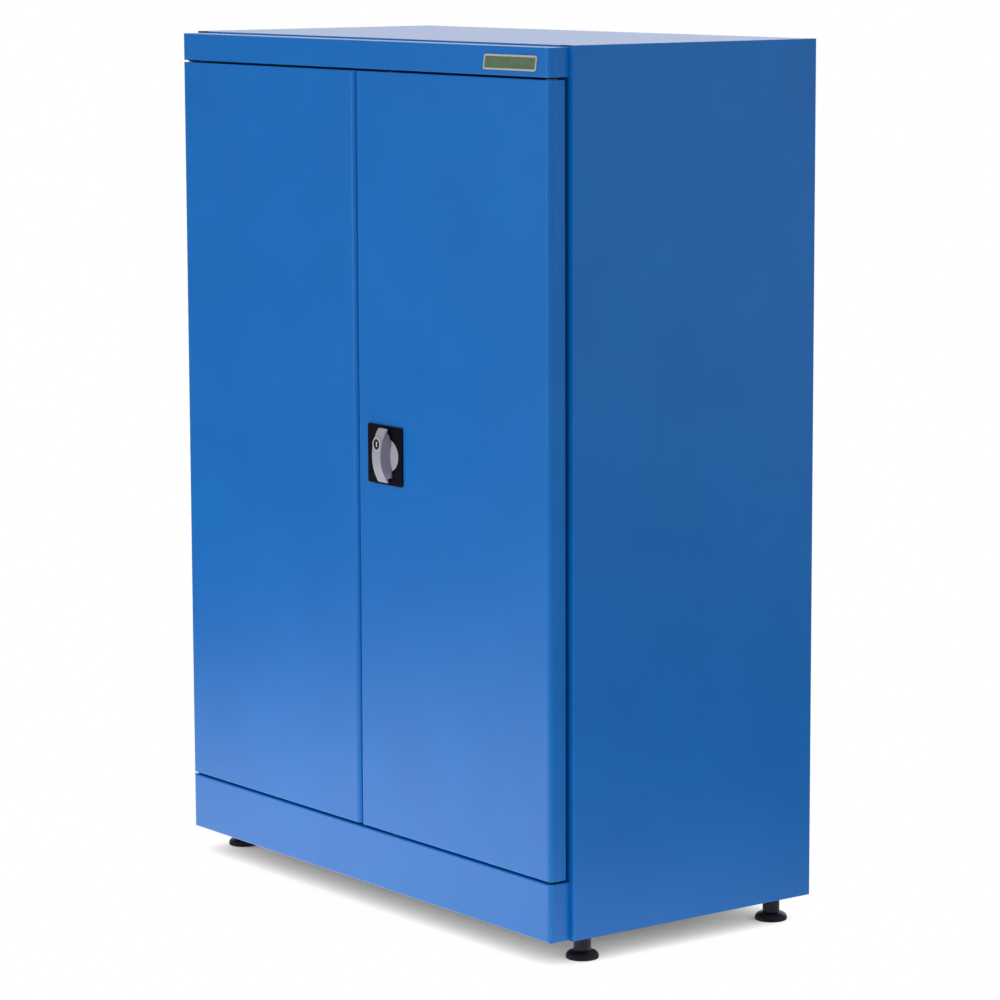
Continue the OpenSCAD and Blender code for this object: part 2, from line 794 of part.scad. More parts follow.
module door_buffers() {
    color(rubber) from_front() for (x = buffer_xs()) translate([x, 0, buffer_z()]) {
        bar_y(buffer_d / 2, door_t + face_fit, front_reach);
        bar_y(buffer_stem_d / 2, front_reach, front_reach + sheet + buffer_stem_l);
    }
}

// The places of the rivets along the right rear flange, on its outer face
module right_rivets() {
    z0 = plinth_z1 + rivet_end;
    z1 = top_z - roof_turn - rivet_end;
    for (i = [0 : rivet_rows - 1])
        translate([half_w - rear_flange / 2, rear_y, z0 + i * (z1 - z0) / (rivet_rows - 1)])
            children();
}

// Rivets that hold the back panel to both rear flanges, their heads outside
module back_rivets() {
    color(zinc) from_front() both_sides() right_rivets() {
        bar_y(rivet_head_d / 2, 0, rivet_head_t);
        bar_y(rivet_d / 2, -2 * sheet - rivet_in, rivet_head_t / 2);
    }
}

// ---- Doors ----

module door_skin() {
    difference() {
        folded_pan(door_x0, door_x1, door_z0, door_z1, door_t, door_sheet, door_lip, door_lip, door_lip);
        for (z = [door_z0, door_z1]) translate([pivot_x, pivot_y, z - 2 * cut])
            cylinder(r = pin_d / 2 + seat, h = 4 * cut);
    }
}

// A hat section down the middle of the door, its feet on the skin
module door_stiffener() {
    x = (door_x0 + door_x1) / 2;
    t = door_sheet;
    h = door_z1 - door_z0 - 2 * stiffener_end;
    translate([x, door_sheet, door_z0 + stiffener_end]) linear_extrude(h) {
        for (side = [-1, 1]) {
            translate([side * (stiffener_w + stiffener_foot - t) / 2, t / 2])
                square([stiffener_foot + t, t], center = true);
            translate([side * (stiffener_w - t) / 2, stiffener_t / 2])
                square([t, stiffener_t], center = true);
        }
        translate([0, stiffener_t - t / 2]) square([stiffener_w, t], center = true);
    }
}

// One pivot pin on the Z axis, with the door's edge at z = 0 and the bracket below
module pivot_pin() {
    head_z = -door_sheet - bracket_t;
    translate([0, 0, head_z]) cylinder(d = pin_d, h = pin_out - head_z);
    translate([0, 0, head_z - pin_head_t]) cylinder(d = collar_d, h = pin_head_t);
    cylinder(d = collar_d, h = collar_t);
}

module pivot_pins() {
    translate([pivot_x, pivot_y, door_z1]) pivot_pin();
    translate([pivot_x, pivot_y, door_z0]) mirror([0, 0, 1]) pivot_pin();
}

// An angle in the door's corner: one leg under the edge, one down the outer side
module pivot_bracket() {
    x1 = door_x1 - door_sheet;
    y0 = bend_r + face_fit;
    y1 = door_t - door_sheet;
    top = door_z1 - door_sheet;
    difference() {
        union() {
            block([x1 - bracket_l, y0, top - bracket_t], [x1, y1, top]);
            block([x1 - bracket_t, y0, top - bracket_leg], [x1, y1, top]);
        }
        translate([pivot_x, pivot_y, top - bracket_t - cut])
            cylinder(r = pin_d / 2 + seat, h = bracket_t + 2 * cut);
        translate([pivot_x, pivot_y, top - bracket_t - pin_head_t - face_fit])
            cylinder(r = collar_d / 2 + face_fit, h = pin_head_t + face_fit);
    }
}

module pivot_brackets() {
    pivot_bracket();
    translate([0, 0, door_z0 + door_z1]) mirror([0, 0, 1]) pivot_bracket();
}

module left_door_skin() {
    color(door_blue) from_front() mirror([1, 0, 0]) door_skin();
}

module left_door_stiffener() {
    color(body_blue) from_front() mirror([1, 0, 0]) door_stiffener();
}

module left_pivot_pins() {
    color(zinc) from_front() mirror([1, 0, 0]) pivot_pins();
}

module left_pivot_brackets() {
    color(zinc) from_front() mirror([1, 0, 0]) pivot_brackets();
}

module right_door_skin() {
    color(door_blue) from_front() difference() {
        door_skin();
        translate([handle_x, 0, handle_z]) bar_y(neck_d / 2 + face_fit, -cut, 2 * door_sheet);
        for (z = [door_z0, door_z1]) translate([handle_x, pivot_y, z - 2 * cut])
            cylinder(r = guide_d / 2 + seat, h = 4 * cut);
    }
}

module right_door_stiffener() {
    color(body_blue) from_front() door_stiffener();
}

module right_pivot_pins() {
    color(zinc) from_front() pivot_pins();
}

module right_pivot_brackets() {
    color(zinc) from_front() pivot_brackets();
}

// ---- Handle, seen from the handle axis ----

module at_handle() {
    from_front() translate([handle_x, 0, handle_z]) children();
}

module handle_plate() {
    color(black) at_handle() difference() {
        union() {
            rotate([90, 0, 0]) linear_extrude(plate_t) round_rect(plate_w, plate_h, plate_r);
            bar_y(neck_d / 2, -plate_t / 2, neck_l);
        }
        bar_y(rosette_d / 2 + face_fit, -plate_t - cut, -plate_t + recess_t);
        bar_y(spindle_d / 2 + turn_fit, -plate_t - cut, neck_l + cut);
    }
}

module neck_nut() {
    color(zinc) at_handle() difference() {
        translate([0, door_sheet, 0]) rotate([-90, 0, 0])
            cylinder(d = neck_nut_af / cos(30), h = neck_nut_t, $fn = 6);
        bar_y(neck_d / 2 + seat, door_sheet - cut, door_sheet + neck_nut_t + cut);
    }
}

// The side view of the grip, in depth and height: a bow whose tips stand off the plate
module grip_side_view() {
    half_l = grip_l / 2;
    rise = grip_reach - tip_reach;
    bow_r = (half_l * half_l + rise * rise) / (2 * rise);
    intersection() {
        translate([-grip_reach + bow_r, 0]) circle(r = bow_r, $fn = 180);
        polygon([
            [-root_reach, -root_half_l], [-root_reach, root_half_l],
            [-tip_reach + tip_t, half_l], [-grip_reach - cut, half_l],
            [-grip_reach - cut, -half_l], [-tip_reach + tip_t, -half_l]
        ]);
    }
}

// The front view of the grip: widest at its root, narrower at its tips
module grip_front_view() {
    half_l = grip_l / 2;
    polygon([
        [grip_tip_w / 2, half_l], [grip_root_w / 2, root_half_l],
        [grip_root_w / 2, -root_half_l], [grip_tip_w / 2, -half_l],
        [-grip_tip_w / 2, -half_l], [-grip_root_w / 2, -root_half_l],
        [-grip_root_w / 2, root_half_l], [-grip_tip_w / 2, half_l]
    ]);
}

// The grip seen from its end: its sides slope in from the root to the front face
module grip_end_view() {
    polygon([
        [-grip_root_w / 2, -root_reach + cut], [grip_root_w / 2, -root_reach + cut],
        [grip_root_w / 2, -root_reach], [grip_w / 2, -grip_reach],
        [-grip_w / 2, -grip_reach], [-grip_root_w / 2, -root_reach]
    ]);
}

module grip_blade() {
    intersection() {
        translate([-grip_root_w, 0, 0]) rotate([90, 0, 90])
            linear_extrude(2 * grip_root_w) grip_side_view();
        translate([0, cut, 0]) rotate([90, 0, 0]) linear_extrude(grip_reach + 2 * cut)
            grip_front_view();
        translate([0, 0, -grip_l]) linear_extrude(2 * grip_l) grip_end_view();
    }
}

// The domed rosette that turns in the plate's recess
module rosette() {
    back = -plate_t + recess_t - face_fit;
    rim = back - rosette_edge;
    r = rosette_d / 2;
    dome_r = (r * r + rosette_dome * rosette_dome) / (2 * rosette_dome);
    intersection() {
        bar_y(r, rim - rosette_dome, back);
        translate([0, rim - rosette_dome + dome_r, 0]) sphere(r = dome_r, $fn = 128);
    }
}

module handle_grip() {
    color(die_cast) at_handle() difference() {
        union() {
            grip_blade();
            rosette();
            translate([0, 0, lock_up]) bar_y(lock_ring_d / 2, -lock_reach, -root_reach);
        }
        bar_y(spindle_d / 2 + seat, -spindle_in, cut);
        translate([0, 0, lock_up]) bar_y(lock_d / 2 + seat, -grip_reach - cut, -lock_back);
    }
}

module lock_cylinder() {
    color(black) at_handle() translate([0, 0, lock_up]) difference() {
        bar_y(lock_d / 2, -lock_reach, -lock_back);
        bar_y(plug_d / 2 + turn_fit, -lock_reach - cut, plug_y);
    }
}

module key_plug() {
    color(black) at_handle() translate([0, 0, lock_up]) difference() {
        bar_y(plug_d / 2, -lock_reach, plug_y - turn_fit);
        translate([-keyhole_w / 2, -lock_reach - cut, -keyhole_h / 2])
            cube([keyhole_w, keyhole_deep + cut, keyhole_h]);
    }
}

// ---- Latch behind the door, seen from the handle axis ----

// A square bar along +Y, from depth y0 to depth y1
module square_bar_y(w, y0, y1) {
    block([-w / 2, y0, -w / 2], [w / 2, y1, w / 2]);
}

module spindle() {
    color(zinc) at_handle() difference() {
        union() {
            bar_y(spindle_d / 2, -spindle_in, spindle_sq_y);
            square_bar_y(spindle_sq, spindle_sq_y - cut, spindle_end_y);
        }
        bar_y(case_screw_d / 2 + seat, spindle_end_y - 3 * tongue_t, spindle_end_y + cut);
    }
}

// The cam: a hub with two arms, and a pin on each that drives a rod's fork
module drive_cam() {
    color(zinc) at_handle() difference() {
        union() {
            bar_y(cam_hub_d / 2, cam_y, cam_y + cam_t);
            for (a = [-45, 135]) rotate([0, a, 0]) {
                block([0, cam_y, -drive_pin_d], [cam_r, cam_y + cam_t, drive_pin_d]);
                translate([cam_r, 0, 0]) bar_y(drive_pin_d, cam_y, cam_y + cam_t);
                translate([cam_r, 0, 0]) bar_y(drive_pin_d / 2, cam_y - drive_pin_l, cam_y + cut);
            }
        }
        square_bar_y(spindle_sq + 2 * seat, cam_y - cut, cam_y + cam_t + cut);
    }
}

module spindle_spacer() {
    color(zinc) at_handle() difference() {
        bar_y(spacer_d / 2, spacer_y, tongue_y);
        square_bar_y(spindle_sq + 2 * seat, spacer_y - cut, tongue_y + cut);
    }
}

// The tongue hangs down at rest and swings behind the left door's lip
module latch_tongue() {
    color(zinc) at_handle() difference() {
        union() {
            bar_y(tongue_w / 2, tongue_y, tongue_y + tongue_t);
            block([-tongue_w / 2, tongue_y, -tongue_l + tongue_w / 4],
                [tongue_w / 2, tongue_y + tongue_t, 0]);
            for (x = [-1, 1]) translate([x * tongue_w / 4, 0, -tongue_l + tongue_w / 4])
                bar_y(tongue_w / 4, tongue_y, tongue_y + tongue_t);
            block([-tongue_w / 4, tongue_y, -tongue_l], [tongue_w / 4, tongue_y + tongue_t, 0]);
        }
        square_bar_y(spindle_sq + 2 * seat, tongue_y - cut, tongue_y + tongue_t + cut);
    }
}

module tongue_screw() {
    color(zinc) at_handle() {
        bar_y(tongue_head_d / 2, spindle_end_y, spindle_end_y + tongue_screw_t);
        bar_y(case_screw_d / 2, spindle_end_y - 2 * tongue_t, spindle_end_y + tongue_screw_t / 2);
    }
}

// The case: a bridge over the cam, whose legs also guide the two rods
module lock_case() {
    y1 = case_y + case_t;
    outer = case_half_h + case_t;
    color(zinc) at_handle() difference() {
        union() {
            block([-case_w / 2, case_y, -outer], [case_w / 2, y1, outer]);
            for (side = [0, 1]) mirror([0, 0, side]) {
                block([-case_w / 2, door_sheet, case_half_h], [case_w / 2, y1, outer]);
                block([-case_w / 2, door_sheet, case_half_h],
                    [case_w / 2, door_sheet + case_t, outer + case_foot]);
            }
        }
        bar_y(spacer_d / 2 + turn_fit, case_y - cut, y1 + cut);
        translate([0, pivot_y, -outer - cut]) cylinder(r = rod_d / 2 + loose_fit, h = 2 * outer + 2 * cut);
        case_screw_places() bar_y(case_screw_d / 2 + seat, 0, door_sheet + case_t + cut);
    }
}

module case_screw_places() {
    z = case_half_h + case_t + case_foot / 2;
    for (x = [-1, 1], side = [-1, 1]) translate([x * case_screw_gap / 2, 0, side * z]) children();
}

// Studs on the inside of the skin, each with its nut
module lock_case_screws() {
    y0 = door_sheet + case_t;
    color(zinc) at_handle() case_screw_places() {
        bar_y(case_screw_d / 2, door_sheet, y0 + case_screw_head_t + stud_past);
        bar_y(case_screw_head_d / 2, y0, y0 + case_screw_head_t);
    }
}

// Guides in the door's top and bottom edges, each flanged inside the door
module rod_guides() {
    bore_r = rod_d / 2 + turn_fit;
    color(nylon) from_front() translate([handle_x, pivot_y, 0]) {
        translate([0, 0, door_z1 - door_sheet]) mirror([0, 0, 1]) guide_ring(bore_r);
        translate([0, 0, door_z0 + door_sheet]) guide_ring(bore_r);
    }
}

// A ring through the door's sheet below z = 0, with its flange and sleeve above
module guide_ring(bore_r) {
    difference() {
        union() {
            translate([0, 0, -door_sheet]) cylinder(d = guide_d, h = door_sheet + guide_l);
            cylinder(d = guide_flange_d, h = door_sheet);
        }
        translate([0, 0, -door_sheet - cut]) cylinder(r = bore_r, h = door_sheet + guide_l + 2 * cut);
    }
}

// The upper rod, its fork round the left drive pin; the lower rod is the same, turned
// half a turn about the handle axis. "tip" is the tip's height above the handle axis.
module rod_body(tip) {
    y0 = pivot_y - fork_t / 2;
    y1 = pivot_y + fork_t / 2;
    prong_z = -pin_rise - fork_half - prong_w;
    translate([0, pivot_y, rod_start]) cylinder(d = rod_d, h = tip - rod_start - tip_cone);
    translate([0, pivot_y, tip - tip_cone]) cylinder(d1 = rod_d, d2 = rod_d / 2, h = tip_cone);
    block([-fork_x - fork_bar, y0, fork_rise],
        [rod_d / 2 + cross_bar_past, y1, fork_rise + cross_bar]);
    block([-fork_x - fork_bar, y0, prong_z], [-fork_x, y1, fork_rise + cross_bar]);
    for (z = [prong_z, -pin_rise + fork_half])
        block([-fork_x - fork_bar, y0, z], [-prong_end, y1, z + prong_w]);
}

module upper_rod() {
    color(zinc) at_handle() rod_body(door_z1 + tip_out - handle_z);
}

module lower_rod() {
    color(zinc) at_handle() rotate([0, 180, 0]) rod_body(handle_z - door_z0 + tip_out);
}

// ---- Assembly ----

left_side_panel();
right_side_panel();
roof_panel();
floor_panel();
back_panel();
header_fascia();
plinth();
badge_plate();
left_base_rail();
right_base_rail();
foot_nuts();
front_left_upright();
front_right_upright();
rear_left_upright();
rear_right_upright();
lower_shelf();
upper_shelf();
lower_shelf_clips();
upper_shelf_clips();
upper_pivot_bushes();
lower_pivot_bushes();
bolt_sockets();
door_buffers();
back_rivets();
left_door_skin();
left_door_stiffener();
left_pivot_pins();
left_pivot_brackets();
right_door_skin();
right_door_stiffener();
right_pivot_pins();
right_pivot_brackets();
handle_plate();
neck_nut();
lock_case();
lock_case_screws();
rod_guides();
handle_grip();
spindle();
lock_cylinder();
drive_cam();
spindle_spacer();
latch_tongue();
tongue_screw();
key_plug();
upper_rod();
lower_rod();
front_left_foot();
front_right_foot();
rear_left_foot();
rear_right_foot();
front_left_foot_spindle();
front_right_foot_spindle();
rear_left_foot_spindle();
rear_right_foot_spindle();
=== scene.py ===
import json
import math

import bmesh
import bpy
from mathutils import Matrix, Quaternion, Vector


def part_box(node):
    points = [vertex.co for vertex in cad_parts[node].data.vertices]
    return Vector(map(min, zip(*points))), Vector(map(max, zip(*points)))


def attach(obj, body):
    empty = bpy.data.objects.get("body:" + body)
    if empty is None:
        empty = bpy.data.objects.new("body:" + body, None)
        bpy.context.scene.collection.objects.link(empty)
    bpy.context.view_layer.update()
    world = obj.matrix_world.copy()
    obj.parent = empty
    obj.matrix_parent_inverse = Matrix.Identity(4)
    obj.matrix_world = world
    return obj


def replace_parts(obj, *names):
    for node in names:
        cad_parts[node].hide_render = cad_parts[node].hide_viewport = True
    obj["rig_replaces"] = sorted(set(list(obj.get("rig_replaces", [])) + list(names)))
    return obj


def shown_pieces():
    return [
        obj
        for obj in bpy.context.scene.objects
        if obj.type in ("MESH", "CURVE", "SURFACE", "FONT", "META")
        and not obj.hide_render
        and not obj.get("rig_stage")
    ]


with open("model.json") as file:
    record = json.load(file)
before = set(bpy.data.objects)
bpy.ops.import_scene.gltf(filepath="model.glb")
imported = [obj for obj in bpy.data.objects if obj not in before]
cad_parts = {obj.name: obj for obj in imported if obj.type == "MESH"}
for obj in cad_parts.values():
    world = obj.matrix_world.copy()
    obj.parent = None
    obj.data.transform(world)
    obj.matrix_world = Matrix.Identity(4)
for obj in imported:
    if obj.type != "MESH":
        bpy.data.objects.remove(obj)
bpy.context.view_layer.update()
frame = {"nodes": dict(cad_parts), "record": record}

# A two-door sheet-steel tool cabinet, dressed over its CAD frame.
#
# The folded sheets, the handle, the badge plate and the feet are modelled here. The small
# hardware is the frame's own, with its hard edges eased. Metres, with X to the right, Y to the
# back, Z up and the floor at z = 0.

MM = 0.001
SLOT_OF = {part["node"]: part["material_slot"] for part in frame["record"]["subparts"]}
BODY_OF = {node: body for body, nodes in frame["record"]["behaviour"]["bodies"].items() for node in nodes}

# ---- Sizes ----

# Folded sheets
SHEET = 1 * MM
BEND = 6.5 * MM  # upright front bends of doors, header and plinth
LEVEL_BEND = 1.8 * MM  # their level front bends
BACK_BEND = 1.5 * MM  # bends into a lip or a rear flange
WELDED_CORNER = 1.2 * MM  # ground corner between two returns
SIDE_BEND = 1.5 * MM  # front bend of a side panel
DOOR_LIP = 12 * MM
WELD_LIP = 14 * MM  # lip that joins header and plinth to the body
FRONT_LIP = 11 * MM  # lip behind the body's front edges
REAR_FLANGE = 20 * MM
BOTTOM_FLANGE = 12 * MM
ROOF_TURN = 20 * MM
ROOF_STOP = 55 * MM  # the roof's front downturn
FLANGE_GAP = 0.3 * MM
BEND_STEPS = 6
EVEN_WALL = {"use_even_offset": True}
BOX_WALL = {"solidify_mode": "NON_MANIFOLD", "nonmanifold_thickness_mode": "CONSTRAINTS"}

# Holes
PIVOT_HOLE = 6.05 * MM
ROD_HOLE = 6.55 * MM
PIN_HOLE = 4.05 * MM
NECK_HOLE = 11.3 * MM
SHEET_DRILL = 6 * SHEET  # length of the drill through a sheet
HOLE_STEPS = 48

# Eased edges of the frame's own nodes
PART_EASE = 0.25 * MM
THICK_EASE = 0.4 * MM
PLATE_EASE = 0.45 * MM

# Handle, as distances from its axis and forwards of the door face
GRIP_REACH = 16 * MM
GRIP_BACK = 2.7 * MM
GRIP_BAND = 5.2 * MM  # reach from which its sides slope in to the front
GRIP_HALF = 32 * MM
GRIP_FRONT_HALF_W = 8.35 * MM  # half width of the front face at the axis
GRIP_WIDER_UP = 0.7 * MM  # what the front face gains towards its upper tip
GRIP_WIDER_DOWN = 1.6 * MM  # and towards its lower tip
GRIP_ROOT_HALF_W = 13.8 * MM
GRIP_TIP_REACH = 6 * MM
GRIP_TIP_T = 1.4 * MM
GRIP_FOOT_HALF = 25.4 * MM  # how far the root runs along the plate
GRIP_TAPER_FROM = 14 * MM  # its upper end tapers from here
GRIP_TAPER_IN = 3.6 * MM
GRIP_TAPER_OFF = 2.0 * MM  # and lifts off the plate by this
GRIP_LIP_HALF = 26.8 * MM  # from here the tips stand clear of the plate
GRIP_LIP_BACK = 5.6 * MM
GRIP_EDGE = 0.5 * MM
GRIP_CORNER = 2.2 * MM
GRIP_ROOT_STEPS = 10  # sections along half the root
GRIP_LIP_STEPS = 3  # and along each tip
PLATE_RECESS_R = 27 * MM  # beyond this the plate is plain
PLATE_CUT = 3.4 * MM  # how much narrower its right part is than the CAD plate
PAINTED_SHADE_LEAN = 0.6  # a face of the grip takes the darker lacquer, which is painted shade, if its normal leans this far to the side
ROSETTE_R = 25.5 * MM
ROSETTE_FLAT = 0.81  # its height as a share of its width
ROSETTE_BACK = 1.9 * MM
ROSETTE_RIM = 0.8 * MM
ROSETTE_DOME = 3.9 * MM
ROSETTE_EDGE = 0.2 * MM
ROSETTE_STEPS = 12
SPINDLE_BORE = 5 * MM
BORE_DRILL = 20 * MM

# Key lock
LOCK_UP = 14 * MM
LOCK_RING_R = 7.9 * MM
LOCK_R = 6.52 * MM
LOCK_FRONT = 15.7 * MM  # front of the ring
LOCK_BACK = 5.6 * MM
LOCK_FIT = 0.02 * MM
LOCK_DRILL = 22 * MM
RING_DRILL = 40 * MM
RING_EDGE = 0.5 * MM
RING_ROUND = 0.15 * MM
BARREL_FRONT = 15.0 * MM  # front of the cylinder and its plug, sunk in the ring
BARREL_EDGE = 0.25 * MM
PLUG_BACK = 6.65 * MM
PLUG_R = 4.8 * MM
PLUG_FIT = 0.05 * MM
KEYHOLE_W = 1.9 * MM
KEYHOLE_H = 5.2 * MM
SHUTTER_SPLIT = 0.9 * MM  # between the two leaves that close the keyhole
SHUTTER_PROUD = 0.4 * MM
SHUTTER_EDGE = 0.15 * MM
KEYHOLE_DEPTH = 4 * MM

# Feet
FOOT_R = 19 * MM
FOOT_RIM = 3 * MM
FOOT_PAD = 9 * MM
FOOT_HEEL = ((0, 0.8), (0.5, 0.2), (1.0, 0))  # millimetres up from the floor and in from the rim
DOME_STEPS = (0.25, 0.55, 0.85, 1.15, 1.45)
STEM_R = 10 * MM
STEM_FILLET = 1.2 * MM
STEM_EDGE = 0.6 * MM
STEM_TOP = 38 * MM
SPINDLE_IN = 18 * MM
SPINDLE_R = 5.02 * MM
THREAD_PITCH = 1.5 * MM
FOOT_RIBS = 60
STEM_RIBS = 20
RIB_DEPTH = 0.05  # share of the radius
RIM_RIBS_Z = (0.4 * MM, 6 * MM)  # where the rim's ribs start and end
RIM_RIBS_R = 15 * MM
STEM_RIBS_Z = (FOOT_PAD + 1.2 * MM, STEM_TOP - 0.3 * MM)

# Badge plate
BADGE_R = 3 * MM
BADGE_RIM = 2.0 * MM
BADGE_LEAN = 3.2 * MM  # how far its top stands to the right of its bottom
BADGE_SUNK = 0.25 * MM
BADGE_STEP = 0.15 * MM
BADGE_EDGE = 0.08 * MM

# Camera, set from the photograph's vanishing lines
CAMERA_AT = Vector((3.7798, -2.8214, 1.1799))
CAMERA_YAW = math.radians(52.997)
CAMERA_PITCH = math.radians(-8.472)
CAMERA_ROLL = math.radians(-0.203)
CAMERA_LENS = 140.99  # millimetres on a 36 mm sensor


# ---- Modelling helpers ----

def fresh():
    """Leaves edit mode with nothing selected, so that the next operator acts on new work alone."""
    if bpy.context.object and bpy.context.object.mode == "EDIT":
        bpy.ops.object.mode_set(mode="OBJECT")
    bpy.ops.object.select_all(action="DESELECT")


def take(piece):
    """Makes a piece the only one selected."""
    fresh()
    piece.select_set(True)
    bpy.context.view_layer.objects.active = piece


def edit(piece):
    """Takes a piece into edit mode."""
    take(piece)
    bpy.ops.object.mode_set(mode="EDIT")


def started(name):
    """Names the primitive that was just added, applies its place and opens it in edit mode."""
    piece = bpy.context.object
    piece.name = piece.data.name = name
    bpy.ops.object.transform_apply()
    edit(piece)
    return piece


def block(name, low, high):
    """A block between two corners, in edit mode."""
    fresh()
    low, high = Vector(low), Vector(high)
    bpy.ops.mesh.primitive_cube_add(size=1, location=(low + high) / 2, scale=high - low)
    return started(name)


def pick(kind, test):
    """Selects only the vertices, edges or faces whose middle and direction pass the test."""
    bpy.ops.mesh.select_mode(type=kind)
    bpy.ops.mesh.select_all(action="DESELECT")
    mesh = bmesh.from_edit_mesh(bpy.context.object.data)
    for part in {"VERT": mesh.verts, "EDGE": mesh.edges, "FACE": mesh.faces}[kind]:
        if test(*middle_and_way(part)):
            part.select_set(True)
    mesh.select_flush_mode()
    bmesh.update_edit_mesh(bpy.context.object.data)


def middle_and_way(part):
    """The middle of a vertex, edge or face, and its normal or an edge's direction."""
    if isinstance(part, bmesh.types.BMVert):
        return part.co, part.normal
    if isinstance(part, bmesh.types.BMFace):
        return part.calc_center_median(), part.normal
    start, end = part.verts[0].co, part.verts[1].co
    return (start + end) / 2, (end - start).normalized()


def near(a, b):
    """True if two lengths agree to a hundredth of a millimetre."""
    return abs(a - b) < 0.01 * MM


def extrude(x=0.0, y=0.0, z=0.0):
    """Extrudes the selection along a vector."""
    bpy.ops.mesh.extrude_region_move(TRANSFORM_OT_translate={"value": (x, y, z)})


def mark_bends(*bends):
    """Gives each edge that passes a bend's test a share of the widest radius, and returns that."""
    widest = max(radius for radius, _ in bends)
    mesh = bmesh.from_edit_mesh(bpy.context.object.data)
    share = mesh.edges.layers.float.new("bevel_weight_edge")
    for edge in mesh.edges:
        for radius, test in bends:
            if test(*middle_and_way(edge)):
                edge[share] = radius / widest
    bmesh.update_edit_mesh(bpy.context.object.data)
    return widest


def modify(piece, kind, **settings):
    """Adds a modifier to a piece and applies it."""
    take(piece)
    bpy.ops.object.modifier_add(type=kind)
    modifier = piece.modifiers[-1]
    for name, value in settings.items():
        setattr(modifier, name, value)
    bpy.ops.object.modifier_apply(modifier=modifier.name)


def bend_and_thicken(piece, widest, wall=EVEN_WALL):
    """Rounds the marked edges of an open shell and gives it the sheet's thickness inwards."""
    modify(piece, "BEVEL", limit_method="WEIGHT", width=widest, segments=BEND_STEPS)
    modify(piece, "SOLIDIFY", thickness=SHEET, offset=-1, **wall)


def bend_and_thicken_box(piece, widest, low, high):
    """The same for a box shell, whose corner points are kept within the box."""
    bend_and_thicken(piece, widest, BOX_WALL)
    edit(piece)
    for z, beyond in ((low.z, lambda z: z < low.z), (high.z, lambda z: z > high.z)):
        pick("VERT", lambda spot, way: beyond(spot.z))
        bpy.ops.transform.resize(value=(1, 1, 0), center_override=(0, 0, z))
    for x, beyond in ((low.x, lambda x: x < low.x), (high.x, lambda x: x > high.x)):
        pick("VERT", lambda spot, way: beyond(spot.x))
        bpy.ops.transform.resize(value=(0, 1, 1), center_override=(x, 0, 0))


def drill(piece, centre, radius, length, axis="Z"):
    """Cuts a round hole through a piece."""
    fresh()
    turn = {"X": (0, math.pi / 2, 0), "Y": (math.pi / 2, 0, 0), "Z": (0, 0, 0)}[axis]
    bpy.ops.mesh.primitive_cylinder_add(
        vertices=HOLE_STEPS, radius=radius, depth=length, location=centre, rotation=turn)
    cutter = bpy.context.object
    modify(piece, "BOOLEAN", operation="DIFFERENCE", object=cutter, solver="EXACT")
    bpy.data.objects.remove(cutter)


def turned(name, centre, axis, profile, steps=96):
    """A closed form turned round an axis, from (distance along the axis, radius) pairs."""
    fresh()
    way = {"Y": Vector((0, 1, 0)), "Z": Vector((0, 0, 1))}[axis]
    turn = {"Y": (math.pi / 2, 0, 0), "Z": (0, 0, 0)}[axis]
    along, radius = profile[0]
    start = Vector(centre) + way * along
    bpy.ops.mesh.primitive_circle_add(
        vertices=steps, radius=radius, fill_type="NGON", location=start, rotation=turn)
    piece = started(name)
    bpy.ops.mesh.select_all(action="SELECT")
    for (last_along, last_radius), (along, radius) in zip(profile, profile[1:]):
        extrude(*(way * (along - last_along)))
        if radius == 0:
            bpy.ops.mesh.merge(type="CENTER")
        elif radius != last_radius:
            share = radius / last_radius
            scale = (share, 1, share) if axis == "Y" else (share, share, 1)
            bpy.ops.transform.resize(value=scale, center_override=Vector(centre) + way * along)
    bpy.ops.mesh.select_all(action="SELECT")
    bpy.ops.mesh.normals_make_consistent(inside=False)
    return piece


def smooth(piece, angle=35):
    """Shades bends smooth, and keeps flats flat and hard edges hard."""
    take(piece)
    bpy.ops.object.shade_smooth_by_angle(angle=math.radians(angle))
    modify(piece, "WEIGHTED_NORMAL", keep_sharp=True)


def join(piece, *others):
    """Makes one piece of several."""
    take(piece)
    for other in others:
        other.select_set(True)
    bpy.ops.object.join()
    return piece


def place(piece, finish, *nodes):
    """Puts a finished piece in the stead of its CAD nodes and on their body, in the finish given, if there
    is one.
    """
    if finish:
        piece.data.materials.clear()
        piece.data.materials.append(finish)
    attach(piece, BODY_OF[nodes[0]])
    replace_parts(piece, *nodes)


def eased(node, edge):
    """A copy of a CAD node with whole faces, eased hard edges and smooth curves."""
    mesh = frame["nodes"][node].data.copy()
    piece = bpy.data.objects.new("eased_" + node, mesh)
    bpy.context.scene.collection.objects.link(piece)
    edit(piece)
    bpy.ops.mesh.select_all(action="SELECT")
    bpy.ops.mesh.customdata_custom_splitnormals_clear()
    bpy.ops.mesh.remove_doubles(threshold=0.001 * MM)
    bpy.ops.mesh.dissolve_limited(angle_limit=math.radians(0.5))
    modify(piece, "BEVEL", limit_method="ANGLE", angle_limit=math.radians(40), width=edge, segments=3)
    smooth(piece)
    return piece


# ---- Folded sheets ----

def folded_pan(name, node):
    """A door: a sheet folded back on four sides, with a lip round its open back."""
    low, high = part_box(node)
    pan = block(name, low, high)
    pick("FACE", lambda middle, way: way.y > 0.9)
    bpy.ops.mesh.inset(thickness=DOOR_LIP)
    bpy.ops.mesh.delete(type="FACE")
    widest = mark_bends(
        (BEND, lambda middle, way: abs(way.z) > 0.9 and near(middle.y, low.y)),
        (LEVEL_BEND, lambda middle, way: abs(way.x) > 0.9 and near(middle.y, low.y)),
        (WELDED_CORNER, lambda middle, way: abs(way.y) > 0.9),
        (BACK_BEND, lambda middle, way: near(middle.y, high.y) and (
            near(middle.x, low.x) or near(middle.x, high.x)
            or near(middle.z, low.z) or near(middle.z, high.z))),
    )
    bend_and_thicken_box(pan, widest, low, high)
    return pan


